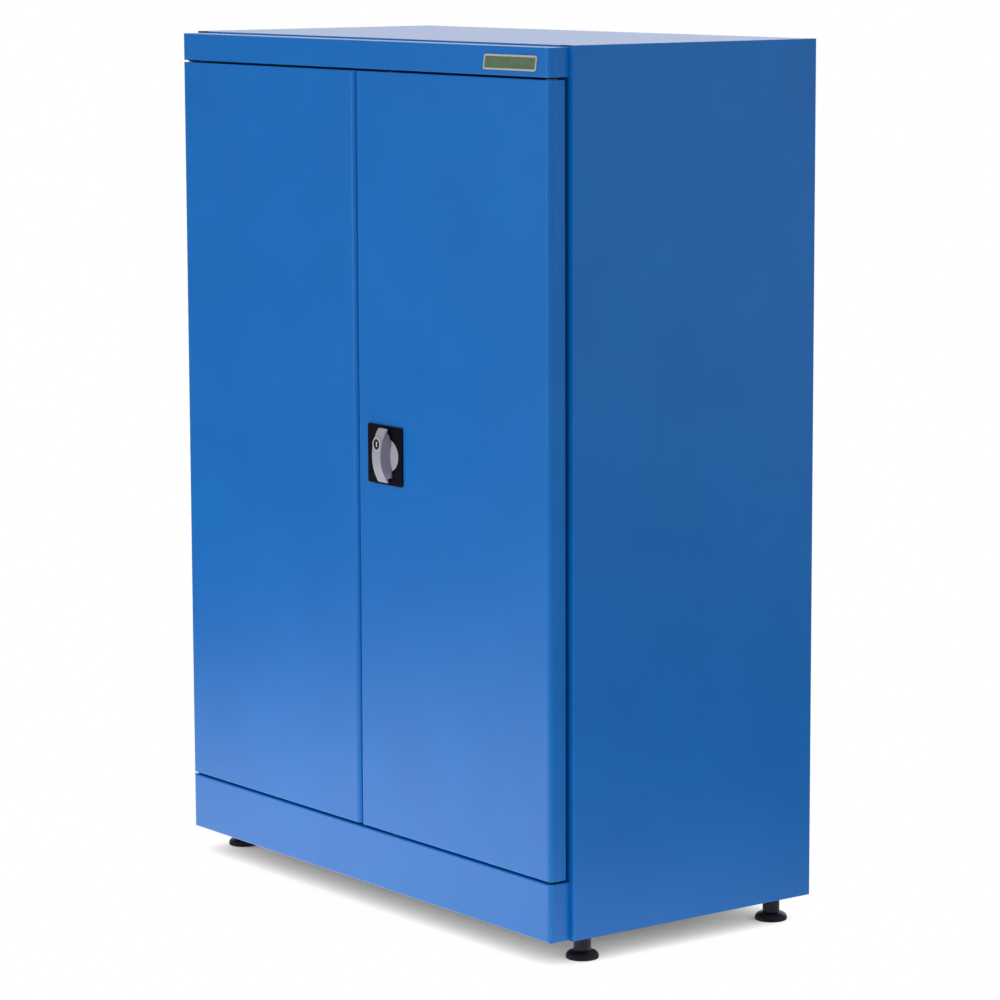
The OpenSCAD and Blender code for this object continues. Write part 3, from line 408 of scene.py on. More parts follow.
def folded_band(name, node, lip_z, lip_way):
    """The header or the plinth: a sheet folded back on four sides, with one lip behind."""
    low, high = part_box(node)
    band = block(name, low, high)
    pick("FACE", lambda middle, way: way.y > 0.9)
    bpy.ops.mesh.delete(type="ONLY_FACE")
    pick("EDGE", lambda middle, way: near(middle.y, high.y) and near(middle.z, lip_z))
    extrude(z=lip_way * WELD_LIP)
    widest = mark_bends(
        (BEND, lambda middle, way: abs(way.z) > 0.9 and near(middle.y, low.y)),
        (LEVEL_BEND, lambda middle, way: abs(way.x) > 0.9 and near(middle.y, low.y)),
        (WELDED_CORNER, lambda middle, way: abs(way.y) > 0.9),
        (BACK_BEND, lambda middle, way: near(middle.y, high.y) and near(middle.z, lip_z)),
    )
    bend_and_thicken_box(band, widest, low, high)
    for pins in ("left_pivot_pins", "right_pivot_pins"):
        drill(band, level_point(pins, lip_z), PIVOT_HOLE, SHEET_DRILL)
    drill(band, level_point("rod_guides", lip_z), ROD_HOLE, SHEET_DRILL)
    return band


def level_point(node, z):
    """The middle of a node in plan, at a height."""
    low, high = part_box(node)
    return Vector(((low.x + high.x) / 2, (low.y + high.y) / 2, z))


def upright_at(x, y):
    """A test for the upright edges at a place in plan."""
    return lambda middle, way: abs(way.z) > 0.9 and near(middle.x, x) and near(middle.y, y)


def side_panel(name, node, side):
    """A side wall with flanges at its front, rear and bottom. Side is 1 on the right, -1 on the left."""
    low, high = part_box(node)
    outer = high.x if side > 0 else low.x
    inner = low.x if side > 0 else high.x
    panel = block(name, low, high)
    pick("FACE", lambda middle, way: way.x * side < -0.9 or abs(way.z) > 0.9)
    bpy.ops.mesh.delete(type="ONLY_FACE")
    pick("EDGE", upright_at(inner, low.y))
    extrude(y=FRONT_LIP)
    pick("EDGE", upright_at(inner, high.y))
    bpy.ops.transform.translate(value=(outer - side * REAR_FLANGE - inner, 0, 0))
    pick("EDGE", lambda middle, way: (
        abs(way.y) > 0.9 and near(middle.x, outer) and near(middle.z, low.z)))
    extrude(x=-side * BOTTOM_FLANGE)
    widest = mark_bends(
        (SIDE_BEND, upright_at(outer, low.y)),
        (BACK_BEND, upright_at(outer, high.y)),
        (BACK_BEND, upright_at(inner, low.y)),
    )
    bend_and_thicken(panel, widest)
    return panel


def roof_panel(name, node):
    """The roof plate, with a deep front downturn that the doors close against and three short ones."""
    low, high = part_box(node)
    stop_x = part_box("right_side_panel")[0].x - FLANGE_GAP
    rear_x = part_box("right_side_panel")[1].x - REAR_FLANGE - FLANGE_GAP
    side_y = (low.y + 2 * SHEET, high.y - 3 * SHEET)
    roof = block(name, (low.x, low.y, high.z - ROOF_TURN), high)
    pick("FACE", lambda middle, way: way.z < 0.9)
    bpy.ops.mesh.delete(type="FACE")
    for x in (-rear_x, -stop_x, stop_x, rear_x):
        pick("FACE", lambda middle, way: True)
        bpy.ops.mesh.bisect(plane_co=(x, 0, 0), plane_no=(1, 0, 0))
    for y in side_y:
        pick("FACE", lambda middle, way: True)
        bpy.ops.mesh.bisect(plane_co=(0, y, 0), plane_no=(0, 1, 0))
    pick("EDGE", lambda middle, way: near(middle.y, low.y) and abs(middle.x) < stop_x)
    extrude(z=-ROOF_STOP)
    extrude(y=FRONT_LIP)
    pick("EDGE", lambda middle, way: near(middle.y, high.y) and abs(middle.x) < rear_x)
    extrude(z=-ROOF_TURN)
    pick("EDGE", lambda middle, way: near(abs(middle.x), high.x) and side_y[0] < middle.y < side_y[1])
    extrude(z=-ROOF_TURN)
    widest = mark_bends(
        (BACK_BEND, lambda middle, way: abs(way.x) > 0.9 and abs(middle.x) < stop_x
            and near(middle.y, low.y)),
        (BACK_BEND, lambda middle, way: abs(way.x) > 0.9 and abs(middle.x) < rear_x
            and near(middle.y, high.y) and near(middle.z, high.z)),
    )
    bpy.ops.mesh.select_all(action="SELECT")
    bpy.ops.mesh.normals_make_consistent(inside=False)
    bend_and_thicken(roof, widest)
    return roof


def make_sheets(paint):
    """The painted sheets that make the cabinet's outside."""
    left = folded_pan("left_door_pan", "left_door_skin")
    right = folded_pan("right_door_pan", "right_door_skin")
    for pan, pins in ((left, "left_pivot_pins"), (right, "right_pivot_pins")):
        for z in (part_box("right_door_skin")[0].z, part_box("right_door_skin")[1].z):
            drill(pan, level_point(pins, z), PIN_HOLE, SHEET_DRILL)
    for z in (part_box("right_door_skin")[0].z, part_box("right_door_skin")[1].z):
        drill(right, level_point("rod_guides", z), ROD_HOLE, SHEET_DRILL)
    drill(right, handle_axis(0), NECK_HOLE, SHEET_DRILL, axis="Y")
    header = folded_band("header_band", "header_fascia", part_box("header_fascia")[0].z, 1)
    plinth = folded_band("plinth_band", "plinth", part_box("plinth")[1].z, -1)
    left_side = side_panel("left_side_wall", "left_side_panel", -1)
    right_side = side_panel("right_side_wall", "right_side_panel", 1)
    roof = roof_panel("roof_sheet", "roof_panel")
    for piece, node in (
        (left, "left_door_skin"), (right, "right_door_skin"), (header, "header_fascia"),
        (plinth, "plinth"), (left_side, "left_side_panel"), (right_side, "right_side_panel"),
        (roof, "roof_panel"),
    ):
        modify(piece, "TRIANGULATE", keep_custom_normals=False)
        smooth(piece)
        place(piece, paint, node)


# ---- Handle ----

def handle_axis(reach, up=0.0):
    """A point on the handle axis, at a distance forwards of the door face."""
    low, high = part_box("handle_plate")
    face_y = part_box("right_door_skin")[0].y
    return Vector(((low.x + high.x) / 2, face_y - reach, (low.z + high.z) / 2 + up))


def bow_reach(up):
    """How far the grip's bow stands forwards, at a height from the axis."""
    rise = GRIP_REACH - GRIP_TIP_REACH
    radius = (GRIP_HALF ** 2 + rise ** 2) / (2 * rise)
    return GRIP_REACH - radius + math.sqrt(radius ** 2 - up ** 2)


def front_half_width(up):
    """Half the width of the grip's front face, which widens towards both tips."""
    wider = GRIP_WIDER_UP if up > 0 else GRIP_WIDER_DOWN
    return GRIP_FRONT_HALF_W + wider * (up / GRIP_HALF) ** 2


def section(up):
    """The grip's section at a height, as (flat reach, reach, half width) from its front to its back."""
    front = front_half_width(up)
    bow = (GRIP_REACH, bow_reach(up), front)
    if abs(up) <= GRIP_FOOT_HALF:
        taper = max(0.0, (up - GRIP_TAPER_FROM) / (GRIP_FOOT_HALF - GRIP_TAPER_FROM))
        root = GRIP_ROOT_HALF_W - taper * GRIP_TAPER_IN
        return bow, (GRIP_BAND, GRIP_BAND, root), (GRIP_BACK, GRIP_BACK + taper * GRIP_TAPER_OFF, root)
    tip = (abs(up) - GRIP_LIP_HALF) / (GRIP_HALF - GRIP_LIP_HALF)
    back = GRIP_LIP_BACK + tip * (GRIP_TIP_REACH - GRIP_TIP_T - GRIP_LIP_BACK)
    return bow, (GRIP_BAND, (bow[1] + back) / 2, front), (GRIP_BACK, back, front)


def grip_blade(face_lacquer, side_painted_shade):
    """The grip's blade: a bow in side view, on a root along the plate, with tips that stand clear, and
    painted shade on its sides.
    """
    axis = handle_axis(0)
    corner = Vector((GRIP_ROOT_HALF_W, 0, GRIP_HALF))
    blade = block(
        "handle_blade", axis - corner - Vector((0, GRIP_REACH, 0)),
        axis + corner - Vector((0, GRIP_BACK, 0)))
    root = [GRIP_FOOT_HALF * i / GRIP_ROOT_STEPS for i in range(GRIP_ROOT_STEPS + 1)]
    lip = [GRIP_LIP_HALF + (GRIP_HALF - GRIP_LIP_HALF) * i / GRIP_LIP_STEPS
           for i in range(GRIP_LIP_STEPS + 1)]
    stations = sorted({side * up for side in (-1, 1) for up in root + lip})
    for up in stations[1:-1]:
        bpy.ops.mesh.select_all(action="SELECT")
        bpy.ops.mesh.bisect(plane_co=axis + Vector((0, 0, up)), plane_no=(0, 0, 1))
    bpy.ops.mesh.select_all(action="SELECT")
    bpy.ops.mesh.bisect(plane_co=axis - Vector((0, GRIP_BAND, 0)), plane_no=(0, 1, 0))
    for up in stations:
        for flat_reach, reach, half_width in section(up):
            pick("VERT", lambda spot, way: (
                near(spot.z, axis.z + up) and near(spot.y, axis.y - flat_reach)))
            bpy.ops.transform.resize(value=(half_width / GRIP_ROOT_HALF_W, 1, 1), center_override=axis)
            bpy.ops.transform.translate(value=(0, flat_reach - reach, 0))
    pick("EDGE", lambda middle, way: abs(way.y) > 0.7 and near(abs(middle.z - axis.z), GRIP_HALF))
    bpy.ops.mesh.bevel(offset=GRIP_CORNER, segments=5, affect="EDGES")
    modify(blade, "BEVEL", limit_method="ANGLE", angle_limit=math.radians(40),
           width=GRIP_EDGE, segments=4)
    drill(blade, handle_axis(GRIP_REACH, LOCK_UP), LOCK_R, LOCK_DRILL, axis="Y")
    blade.data.materials.append(face_lacquer)
    blade.data.materials.append(side_painted_shade)
    # The side faces take a darker copy of the same lacquer: painted shade, where less light falls.
    for face in blade.data.polygons:
        face.material_index = 1 if abs(face.normal.x) > PAINTED_SHADE_LEAN else 0
    return blade


def rosette(face_lacquer):
    """The domed oval foot of the grip, which turns in the plate's recess."""
    dome_r = (ROSETTE_R ** 2 + ROSETTE_DOME ** 2) / (2 * ROSETTE_DOME)
    dome_edge = ROSETTE_R - ROSETTE_EDGE
    profile = [(0, ROSETTE_R), (-ROSETTE_RIM + ROSETTE_EDGE, ROSETTE_R), (-ROSETTE_RIM, dome_edge)]
    for i in range(1, ROSETTE_STEPS):
        radius = dome_edge * (1 - i / ROSETTE_STEPS)
        rise = ROSETTE_DOME - dome_r + math.sqrt(dome_r ** 2 - radius ** 2)
        profile.append((-ROSETTE_RIM - rise, radius))
    profile.append((-ROSETTE_RIM - ROSETTE_DOME, 0))
    disc = turned("handle_rosette", handle_axis(ROSETTE_BACK), "Y", profile)
    bpy.ops.transform.resize(value=(1, 1, ROSETTE_FLAT), center_override=handle_axis(0))
    drill(disc, handle_axis(GRIP_BACK), SPINDLE_BORE, BORE_DRILL, axis="Y")
    disc.data.materials.append(face_lacquer)
    return disc


def lock_ring():
    """The raised ring that the lock cylinder sits in."""
    depth = LOCK_FRONT - GRIP_BACK
    ring = turned("lock_ring", handle_axis(GRIP_BACK, LOCK_UP), "Y", [
        (0, LOCK_RING_R), (-depth + RING_EDGE, LOCK_RING_R),
        (-depth + RING_ROUND, LOCK_RING_R - RING_ROUND), (-depth, LOCK_RING_R - RING_EDGE)])
    drill(ring, handle_axis(LOCK_FRONT, LOCK_UP), LOCK_R, RING_DRILL, axis="Y")
    return ring


def barrel(name, back, radius):
    """A round bar of the lock, from a reach forwards to the sunk front, with an eased rim."""
    depth = BARREL_FRONT - back
    return turned(name, handle_axis(back, LOCK_UP), "Y", [
        (0, radius), (-depth + BARREL_EDGE, radius), (-depth, radius - BARREL_EDGE)])


def make_lock(blackened, bright):
    """The lock cylinder, and its plug with a keyhole that two spring leaves close."""
    cylinder = barrel("lock_barrel", LOCK_BACK, LOCK_R - LOCK_FIT)
    drill(cylinder, handle_axis(BARREL_FRONT, LOCK_UP), PLUG_R + PLUG_FIT,
          2 * (BARREL_FRONT - PLUG_BACK + PLUG_FIT), axis="Y")
    smooth(cylinder)
    place(cylinder, blackened, "lock_cylinder")
    plug = barrel("plug_barrel", PLUG_BACK, PLUG_R)
    front = handle_axis(BARREL_FRONT, LOCK_UP)
    half = Vector((KEYHOLE_W / 2, KEYHOLE_DEPTH, KEYHOLE_H / 2))
    cutter = block("keyhole_cutter", front - half, front + half)
    modify(plug, "BOOLEAN", operation="DIFFERENCE", object=cutter, solver="EXACT")
    bpy.data.objects.remove(cutter)
    smooth(plug)
    place(plug, blackened, "key_plug")
    leaves = []
    for side in (-1, 1):
        ends = sorted((side * SHUTTER_SPLIT / 2, side * KEYHOLE_H / 2))
        low = Vector((-KEYHOLE_W / 2 + PLUG_FIT, -SHUTTER_PROUD, ends[0]))
        high = Vector((KEYHOLE_W / 2 - PLUG_FIT, SHUTTER_PROUD, ends[1]))
        leaves.append(block("key_leaf", front + low, front + high))
        modify(leaves[-1], "BEVEL", limit_method="NONE", width=SHUTTER_EDGE, segments=3)
    shutter = join(*leaves)
    shutter.name = "keyhole_shutter"
    smooth(shutter)
    # The leaves take a pale lacquer: partly their own light metal, partly a painted glint that keeps them
    # bright in the lock's shade.
    shutter.data.materials.append(bright)
    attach(shutter, BODY_OF["key_plug"])


def make_handle(face_lacquer, side_painted_shade, ring_lacquer, moulding):
    """Grip and rosette as one casting, with painted shade on the grip's sides, the lighter ring in it and
    the black plate behind them.
    """
    casting = join(grip_blade(face_lacquer, side_painted_shade), rosette(face_lacquer))
    casting.name = "handle_casting"
    smooth(casting, 32)
    place(casting, None, "handle_grip")
    ring = lock_ring()
    smooth(ring, 32)
    ring.data.materials.append(ring_lacquer)
    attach(ring, BODY_OF["handle_grip"])
    plate = eased("handle_plate", PLATE_EASE)
    edit(plate)
    pick("VERT", lambda spot, way: spot.x > handle_axis(0).x + PLATE_RECESS_R)
    bpy.ops.transform.translate(value=(-PLATE_CUT, 0, 0))
    place(plate, moulding, "handle_plate")


# ---- Badge plate ----

def make_badge(rim_metal, enamel):
    """The blank badge plate: a bare metal rim round a plain enamel field."""
    low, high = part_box("badge_plate")
    plate = block("blank_badge", low, high)
    pick("VERT", lambda spot, way: near(spot.x, low.x) and near(spot.z, high.z))
    bpy.ops.transform.translate(value=(BADGE_LEAN, 0, 0))
    pick("VERT", lambda spot, way: near(spot.x, high.x) and near(spot.z, low.z))
    bpy.ops.transform.translate(value=(-BADGE_LEAN, 0, 0))
    pick("EDGE", lambda middle, way: abs(way.y) > 0.9)
    bpy.ops.mesh.bevel(offset=BADGE_R, segments=4, affect="EDGES")
    pick("FACE", lambda middle, way: way.y < -0.9)
    bpy.ops.mesh.inset(thickness=BADGE_RIM)
    bpy.ops.mesh.inset(thickness=BADGE_STEP, depth=-BADGE_SUNK)
    plate.data.materials.append(rim_metal)
    plate.data.materials.append(enamel)
    mesh = bmesh.from_edit_mesh(plate.data)
    for face in mesh.faces:
        face.material_index = 1 if face.select else 0
    bmesh.update_edit_mesh(plate.data)
    modify(plate, "BEVEL", limit_method="ANGLE", angle_limit=math.radians(60),
           width=BADGE_EDGE, segments=3)
    smooth(plate)
    place(plate, None, "badge_plate")


# ---- Feet ----

def foot(node):
    """A levelling foot: a domed pad with a ribbed rim, and a fluted stem bored for its spindle."""
    centre = level_point(node, 0)
    heel = [(up * MM, FOOT_R - inset * MM) for up, inset in FOOT_HEEL]
    dome = [(FOOT_RIM + (FOOT_PAD - FOOT_RIM) * math.sin(a), STEM_R + STEM_FILLET
             + (FOOT_R - STEM_R - STEM_FILLET) * math.cos(a)) for a in DOME_STEPS]
    profile = [
        *heel, (FOOT_RIM, FOOT_R), *dome,
        (FOOT_PAD + STEM_EDGE, STEM_R + 0.25 * MM), (FOOT_PAD + STEM_EDGE + 1 * MM, STEM_R),
        (STEM_TOP - STEM_EDGE, STEM_R), (STEM_TOP, STEM_R - STEM_EDGE)]
    piece = turned(node + "_moulding", centre, "Z", profile, steps=2 * FOOT_RIBS)
    rib_in(centre, FOOT_RIBS, lambda z, radius: (
        RIM_RIBS_Z[0] < z < RIM_RIBS_Z[1] and radius > RIM_RIBS_R))
    rib_in(centre, STEM_RIBS, lambda z, radius: STEM_RIBS_Z[0] < z < STEM_RIBS_Z[1])
    drill(piece, centre + Vector((0, 0, STEM_TOP)), SPINDLE_R, 2 * SPINDLE_IN)
    return piece


def rib_in(centre, ribs, test):
    """Draws in the grooves between the ribs of a turned form, where the test holds."""
    def in_groove(spot, way):
        out = Vector((spot.x - centre.x, spot.y - centre.y))
        step = round(math.atan2(out.y, out.x) / math.tau * 2 * FOOT_RIBS)
        return test(spot.z, out.length) and step % (2 * FOOT_RIBS // ribs) == 0
    pick("VERT", in_groove)
    share = 1 - RIB_DEPTH
    bpy.ops.transform.resize(value=(share, share, 1), center_override=centre)


def make_feet(moulding):
    """Four feet, each in the stead of its CAD solid."""
    for end in ("front", "rear"):
        for side in ("left", "right"):
            node = f"{end}_{side}_foot"
            piece = foot(node)
            smooth(piece, 40)
            place(piece, moulding, node)


# ---- Finishes ----

def new_finish(name, **values):
    """A material with set values on its Principled shader, named as the shader's sockets are."""
    material = bpy.data.materials.new(name)
    material.use_nodes = True
    shader = material.node_tree.nodes["Principled BSDF"]
    for socket, value in values.items():
        words = socket.replace("_", " ").title().replace("Ior", "IOR")
        shader.inputs[words].default_value = (*value, 1) if isinstance(value, tuple) else value
    return material, material.node_tree, shader


def node(tree, kind, **inputs):
    """Adds a node, and sets or links its inputs by name."""
    made = tree.nodes.new("ShaderNode" + kind)
    for name, value in inputs.items():
        socket = made.inputs[name.replace("_", " ").title()]
        if isinstance(value, bpy.types.NodeSocket):
            tree.links.new(value, socket)
        else:
            socket.default_value = value
    return made


def place_on_object(tree, stretch=(1, 1, 1)):
    """Object coordinates, stretched along the axes."""
    position = node(tree, "TexCoord").outputs["Object"]
    return node(tree, "Mapping", vector=position, scale=stretch).outputs["Vector"]


def grain(tree, scale, detail=3.0, stretch=(1, 1, 1)):
    """Noise of a number of features per metre, from 0 to 1."""
    return node(
        tree, "TexNoise", vector=place_on_object(tree, stretch), scale=scale, detail=detail
    ).outputs["Fac"]


def between(tree, value, low, high):
    """Maps a noise value from its usual span onto a range."""
    return node(
        tree, "MapRange", value=value, from_min=0.3, from_max=0.7, to_min=low, to_max=high
    ).outputs["Result"]


def blend(tree, factor, first, second):
    """A colour between two, by a factor from 0 to 1."""
    mix = tree.nodes.new("ShaderNodeMix")
    mix.data_type = "RGBA"
    tree.links.new(factor, mix.inputs[0])
    mix.inputs[6].default_value = (*first, 1)
    mix.inputs[7].default_value = (*second, 1)
    return mix.outputs[2]


def emboss(tree, shader, height, depth, strength=1.0, under=None):
    """Raises the surface by a height pattern, over an earlier one if that is given."""
    bump = node(tree, "Bump", height=height, distance=depth, strength=strength)
    if under:
        tree.links.new(under, bump.inputs["Normal"])
    tree.links.new(bump.outputs["Normal"], shader.inputs["Normal"])
    return bump.outputs["Normal"]


def powder_coat():
    """Blue satin powder coat: faint mottling, a fine orange peel and slow waves in the sheet."""
    material, tree, shader = new_finish("blue_powder_coat", roughness=0.34, specular_ior_level=0.37)
    tone = between(tree, grain(tree, 9, detail=4), 0, 1)
    colour = blend(tree, tone, (0.0010, 0.140, 0.489), (0.0014, 0.155, 0.525))
    tree.links.new(colour, shader.inputs["Base Color"])
    tree.links.new(between(tree, grain(tree, 420), 0.30, 0.38), shader.inputs["Roughness"])
    waves = emboss(tree, shader, grain(tree, 7, detail=1), 0.4 * MM, 0.5)
    emboss(tree, shader, grain(tree, 650), 0.012 * MM, 1.0, under=waves)
    return material


def moulded_black(name, tone, roughness, gloss):
    """Black moulded plastic with a fine spark-eroded grain."""
    material, tree, shader = new_finish(name, specular_ior_level=gloss)
    lighter = tuple(1.6 * channel for channel in tone)
    mottle = between(tree, grain(tree, 160), 0, 1)
    tree.links.new(blend(tree, mottle, tone, lighter), shader.inputs["Base Color"])
    tree.links.new(
        between(tree, grain(tree, 900), roughness - 0.06, roughness + 0.08), shader.inputs["Roughness"])
    emboss(tree, shader, grain(tree, 1900, detail=4), 0.02 * MM, 0.8)
    return material


def die_cast_lacquer(name, tone):
    """Silver-grey lacquer over a zinc casting, with fine metal flake and a cast unevenness."""
    material, tree, shader = new_finish(name, specular_ior_level=0.25)
    flake = between(tree, grain(tree, 2600, detail=1), 0, 1)
    lighter = tuple(1.3 * channel for channel in tone)
    tree.links.new(blend(tree, flake, tone, lighter), shader.inputs["Base Color"])
    tree.links.new(between(tree, grain(tree, 500), 0.36, 0.48), shader.inputs["Roughness"])
    emboss(tree, shader, grain(tree, 380), 0.04 * MM, 0.8)
    return material


def zinc_plate(name, threads=0.0, metal=1.0):
    """Bright zinc plate: mottled grey metal, with thread rings where a pitch is given."""
    material, tree, shader = new_finish(name, metallic=metal)
    mottle = between(tree, grain(tree, 70, detail=5), 0, 1)
    tree.links.new(blend(tree, mottle, (0.50, 0.51, 0.52), (0.68, 0.69, 0.71)), shader.inputs["Base Color"])
    tree.links.new(between(tree, grain(tree, 260), 0.26, 0.42), shader.inputs["Roughness"])
    rubbed = emboss(tree, shader, grain(tree, 900), 0.015 * MM, 0.7)
    if threads:
        height = node(tree, "SeparateXYZ", vector=place_on_object(tree)).outputs["Z"]
        turn = node(tree, "Math", value=height)
        turn.operation = "PINGPONG"
        turn.inputs[1].default_value = threads / 2
        share = node(tree, "MapRange", value=turn.outputs[0], from_max=threads / 2)
        emboss(tree, shader, share.outputs["Result"], 0.6 * threads, 1.0, under=rubbed)
    return material


def galvanised():
    """Hot-dip galvanised sheet with its spangle."""
    material, tree, shader = new_finish("galvanised_spangle", metallic=1.0)
    cells = node(tree, "TexVoronoi", vector=place_on_object(tree), scale=110.0)
    tone = node(tree, "SeparateColor", color=cells.outputs["Color"]).outputs["Red"]
    tree.links.new(blend(tree, tone, (0.44, 0.46, 0.48), (0.62, 0.64, 0.66)), shader.inputs["Base Color"])
    tree.links.new(between(tree, tone, 0.34, 0.46), shader.inputs["Roughness"])
    emboss(tree, shader, grain(tree, 700), 0.02 * MM, 0.6)
    return material


def natural_nylon():
    """Off-white moulded nylon."""
    material, tree, shader = new_finish("natural_nylon", subsurface_weight=0.1, subsurface_scale=0.002)
    tone = between(tree, grain(tree, 60), 0, 1)
    tree.links.new(blend(tree, tone, (0.72, 0.71, 0.66), (0.80, 0.79, 0.75)), shader.inputs["Base Color"])
    tree.links.new(between(tree, grain(tree, 500), 0.40, 0.52), shader.inputs["Roughness"])
    emboss(tree, shader, grain(tree, 800), 0.02 * MM, 0.6)
    return material


def matt_rubber():
    """Black rubber with a dusty bloom."""
    material, tree, shader = new_finish("matt_rubber", specular_ior_level=0.35)
    tone = between(tree, grain(tree, 120, detail=5), 0, 1)
    colour = blend(tree, tone, (0.020, 0.020, 0.021), (0.045, 0.045, 0.046))
    tree.links.new(colour, shader.inputs["Base Color"])
    tree.links.new(between(tree, grain(tree, 600), 0.70, 0.86), shader.inputs["Roughness"])
    emboss(tree, shader, grain(tree, 1500), 0.03 * MM, 0.8)
    return material


def green_enamel():
    """Plain green enamel, glossy and slightly uneven."""
    material, tree, shader = new_finish("green_enamel", coat_weight=0.6, coat_roughness=0.12)
    tone = between(tree, grain(tree, 90), 0, 1)
    colour = blend(tree, tone, (0.090, 0.160, 0.080), (0.120, 0.190, 0.110))
    tree.links.new(colour, shader.inputs["Base Color"])
    tree.links.new(between(tree, grain(tree, 700), 0.30, 0.40), shader.inputs["Roughness"])
    emboss(tree, shader, grain(tree, 900), 0.01 * MM, 0.7)
    return material


def brushed_rim():
    """Silver metal with a fine lengthwise brushing."""
    material, tree, shader = new_finish("brushed_rim", metallic=0.3)
    lines = between(tree, grain(tree, 120, stretch=(1, 30, 30)), 0, 1)
    tree.links.new(blend(tree, lines, (0.50, 0.48, 0.43), (0.64, 0.62, 0.56)), shader.inputs["Base Color"])
    tree.links.new(between(tree, lines, 0.32, 0.46), shader.inputs["Roughness"])
    emboss(tree, shader, lines, 0.008 * MM, 0.6)
    return material


# ---- Small hardware and inner sheets ----

def make_hardware(finishes, threaded, polished):
    """Eases the CAD nodes that no piece replaces, each in its slot's finish or one of its own."""
    thick_sheet = ("lower_shelf", "upper_shelf", "floor_panel", "back_panel")
    replaced = {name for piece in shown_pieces() for name in piece.get("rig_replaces", [])}
    for name, slot in SLOT_OF.items():
        if name in replaced:
            continue
        finish = finishes[slot]
        if "foot_spindle" in name:
            finish = threaded
        if "pivot_pins" in name:
            finish = polished
        piece = eased(name, THICK_EASE if name in thick_sheet else PART_EASE)
        place(piece, finish, name)


# ---- Studio ----

FLOOR_RADIUS = 3.0
SHADOW_REACH = 1.0  # how far the floor looks for what shades it
SHADOW_OPEN = 0.5  # share of open sky from which the floor is white
SHADOW_POWER = 0.53  # how the tone falls with the open sky
SHADOW_SAMPLES = 32
FLOOR_TONE = 0.8  # the floor as the object's light sees it
POOL_AT = (-0.19, -0.53, 0)  # middle of the bright pool of light on the floor
POOL_NEAR, POOL_FAR = 0.1, 1.77  # where the pool starts to fade, and ends
POOL_GLOSS = 2.25  # its tone in gloss
POOL_FILL = 0.9  # the light that it sends up

WORLD_FILL = 0.63  # what the studio's walls give as light
WALL_DIM, WALL_BRIGHT = 0.0, 1.58  # the room before and the wall behind, as gloss shows them
WALL_TOWARD = (-0.379, 0.925, 0)  # where the bright wall is
WALL_START, WALL_END = -0.12, 0.91  # between which the room brightens, as cosines from there

# Each lamp: its place, what it is aimed at, its width and height, and its watts
FRONT_KEY = ((0.3, -3.9, 2.9), (0, 0, 0.5), (2.2, 2.2), 52)
EDGE_STRIP = ((-1.53, -3.13, 1.0), (0.376, -0.19, 1.0), (0.25, 1.9), 12)


def either(tree, first, second):
    """1 where one of two flags is 1."""
    most = node(tree, "Math", value=first)
    most.operation = "MAXIMUM"
    tree.links.new(second, most.inputs[1])
    return most.outputs[0]


def glow(tree, colour, kind="Emission", strength=1.0):
    """An even light of a colour, which is a value or a linked socket."""
    return node(tree, kind, color=colour, strength=strength).outputs[0]


def switch(tree, flag, off, on):
    """One shader where the flag is 0 and another where it is 1."""
    mix = tree.nodes.new("ShaderNodeMixShader")
    for socket, value in zip(mix.inputs, (flag, off, on)):
        tree.links.new(value, socket)
    return mix.outputs[0]


def floor_shade(tree):
    """White in the open, dark under the object, from how much sky a point of the floor sees."""
    sky = node(tree, "AmbientOcclusion", distance=SHADOW_REACH)
    sky.samples = SHADOW_SAMPLES
    share = node(tree, "Math", value=sky.outputs["AO"])
    share.operation = "DIVIDE"
    share.inputs[1].default_value = SHADOW_OPEN
    tone = node(tree, "Math", value=share.outputs[0])
    tone.operation = "POWER"
    tone.inputs[1].default_value = SHADOW_POWER
    tone.use_clamp = True
    return tone.outputs[0]


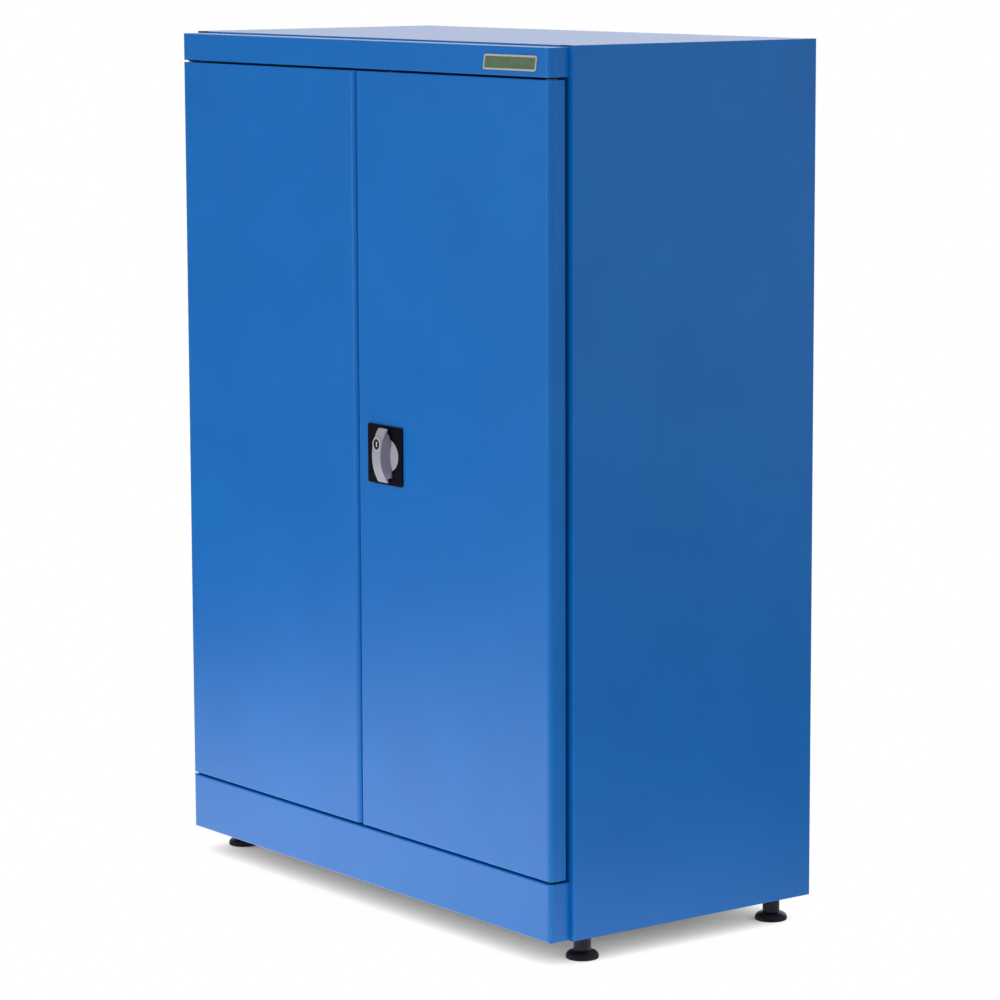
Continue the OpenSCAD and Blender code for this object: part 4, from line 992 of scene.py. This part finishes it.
def make_floor():
    """A pale floor that shows white, keeps the object's soft shadow and has a bright pool before it."""
    fresh()
    bpy.ops.mesh.primitive_circle_add(vertices=128, radius=FLOOR_RADIUS, fill_type="NGON")
    floor = bpy.context.object
    floor.name = "studio_floor"
    material = bpy.data.materials.new("white_floor")
    material.use_nodes = True
    tree = material.node_tree
    tree.nodes.clear()
    shade = floor_shade(tree)
    away = node(tree, "VectorMath", vector=node(tree, "TexCoord").outputs["Object"])
    away.operation = "DISTANCE"
    away.inputs[1].default_value = POOL_AT
    pool = node(tree, "MapRange", value=away.outputs["Value"], from_min=POOL_FAR, from_max=POOL_NEAR)
    pool.interpolation_type = "SMOOTHSTEP"
    shaded_pool = node(tree, "Math", value=pool.outputs["Result"])
    shaded_pool.operation = "MULTIPLY"
    tree.links.new(shade, shaded_pool.inputs[1])
    lit = node(tree, "BsdfDiffuse", color=(FLOOR_TONE, FLOOR_TONE, FLOOR_TONE, 1)).outputs[0]
    both = tree.nodes.new("ShaderNodeAddShader")
    tree.links.new(lit, both.inputs[0])
    tree.links.new(glow(tree, shaded_pool.outputs[0], strength=POOL_FILL), both.inputs[1])
    path = node(tree, "LightPath").outputs
    gloss = glow(tree, shaded_pool.outputs[0], strength=POOL_GLOSS)
    in_gloss = switch(tree, path["Is Glossy Ray"], both.outputs[0], gloss)
    seen = either(tree, path["Is Camera Ray"], path["Is Transmission Ray"])
    output = tree.nodes.new("ShaderNodeOutputMaterial")
    tree.links.new(switch(tree, seen, in_gloss, glow(tree, shade)), output.inputs["Surface"])
    floor.data.materials.append(material)
    floor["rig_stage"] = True


def make_world():
    """White to the camera. Gloss sees a bright wall behind the object and a dim room before it."""
    world = bpy.data.worlds.new("studio")
    bpy.context.scene.world = world
    world.use_nodes = True
    tree = world.node_tree
    tree.nodes.clear()
    toward = node(tree, "VectorMath", vector=node(tree, "TexCoord").outputs["Generated"])
    toward.operation = "DOT_PRODUCT"
    toward.inputs[1].default_value = WALL_TOWARD
    wall = node(
        tree, "MapRange", value=toward.outputs["Value"], from_min=WALL_START, from_max=WALL_END,
        to_min=WALL_DIM, to_max=WALL_BRIGHT).outputs["Result"]
    path = node(tree, "LightPath").outputs
    in_gloss = switch(
        tree, path["Is Glossy Ray"], glow(tree, (1, 1, 1, 1), "Background", WORLD_FILL),
        glow(tree, wall, "Background"))
    seen = either(tree, path["Is Camera Ray"], path["Is Transmission Ray"])
    output = tree.nodes.new("ShaderNodeOutputWorld")
    white = glow(tree, (1, 1, 1, 1), "Background")
    tree.links.new(switch(tree, seen, in_gloss, white), output.inputs["Surface"])


def add_softbox(name, at, toward, size, watts):
    """An area lamp of a width and height, aimed at a point."""
    lamp = bpy.data.lights.new(name, "AREA")
    lamp.shape = "RECTANGLE"
    lamp.size, lamp.size_y = size
    lamp.energy = watts
    holder = bpy.data.objects.new(name, lamp)
    holder.location = at
    holder.rotation_mode = "QUATERNION"
    holder.rotation_quaternion = (Vector(toward) - Vector(at)).to_track_quat("-Z", "Y")
    bpy.context.scene.collection.objects.link(holder)
    return holder


def add_camera():
    """The photograph's view: a long lens, a little above the middle, from the right."""
    camera = bpy.data.objects.new("camera", bpy.data.cameras.new("camera"))
    camera.data.sensor_width = 36
    camera.data.lens = CAMERA_LENS
    camera.location = CAMERA_AT
    level = math.cos(CAMERA_PITCH)
    forward = Vector((-math.sin(CAMERA_YAW) * level, math.cos(CAMERA_YAW) * level, math.sin(CAMERA_PITCH)))
    camera.rotation_mode = "QUATERNION"
    camera.rotation_quaternion = (
        forward.to_track_quat("-Z", "Y") @ Quaternion((0, 0, 1), CAMERA_ROLL))
    bpy.context.scene.collection.objects.link(camera)
    bpy.context.scene.camera = camera


# ---- Assembly ----

add_camera()
make_floor()
make_world()
add_softbox("front_key", *FRONT_KEY)
edge_strip = add_softbox("edge_strip", *EDGE_STRIP)
edge_strip.visible_diffuse = False  # it only draws the light line along the upright bends

paint = powder_coat()
finishes = {
    "blue_paint": paint,
    "galvanised": galvanised(),
    "zinc_steel": zinc_plate("zinc_plate"),
    "black_steel": moulded_black("blackened_steel", (0.014, 0.014, 0.016), 0.42, 0.4),
    "black_plastic": moulded_black("black_moulding", (0.0085, 0.0065, 0.0110), 0.40, 0.25),
    "die_cast": die_cast_lacquer("die_cast_lacquer", (0.30, 0.29, 0.355)),
    "nylon": natural_nylon(),
    "black_rubber": matt_rubber(),
}
make_sheets(paint)
# A pale lacquer for the keyhole leaves: partly their own light metal, partly a painted glint.
pale_lacquer_and_glint = die_cast_lacquer("pale_lacquer_and_glint", (0.62, 0.61, 0.68))
# The grip's sides take a darker copy of the die-cast lacquer, as painted shade.
make_handle(
    finishes["die_cast"], die_cast_lacquer("painted_shade_lacquer", (0.16, 0.155, 0.205)),
    die_cast_lacquer("ring_lacquer", (0.46, 0.45, 0.51)),
    moulded_black("plate_moulding", (0.003, 0.002, 0.005), 0.40, 0.1))
make_lock(finishes["black_steel"], pale_lacquer_and_glint)
make_badge(brushed_rim(), green_enamel())
make_feet(finishes["black_plastic"])
make_hardware(
    finishes, zinc_plate("threaded_zinc", threads=THREAD_PITCH), zinc_plate("polished_pin", metal=0.3))

bpy.context.scene.view_settings.view_transform = "Standard"
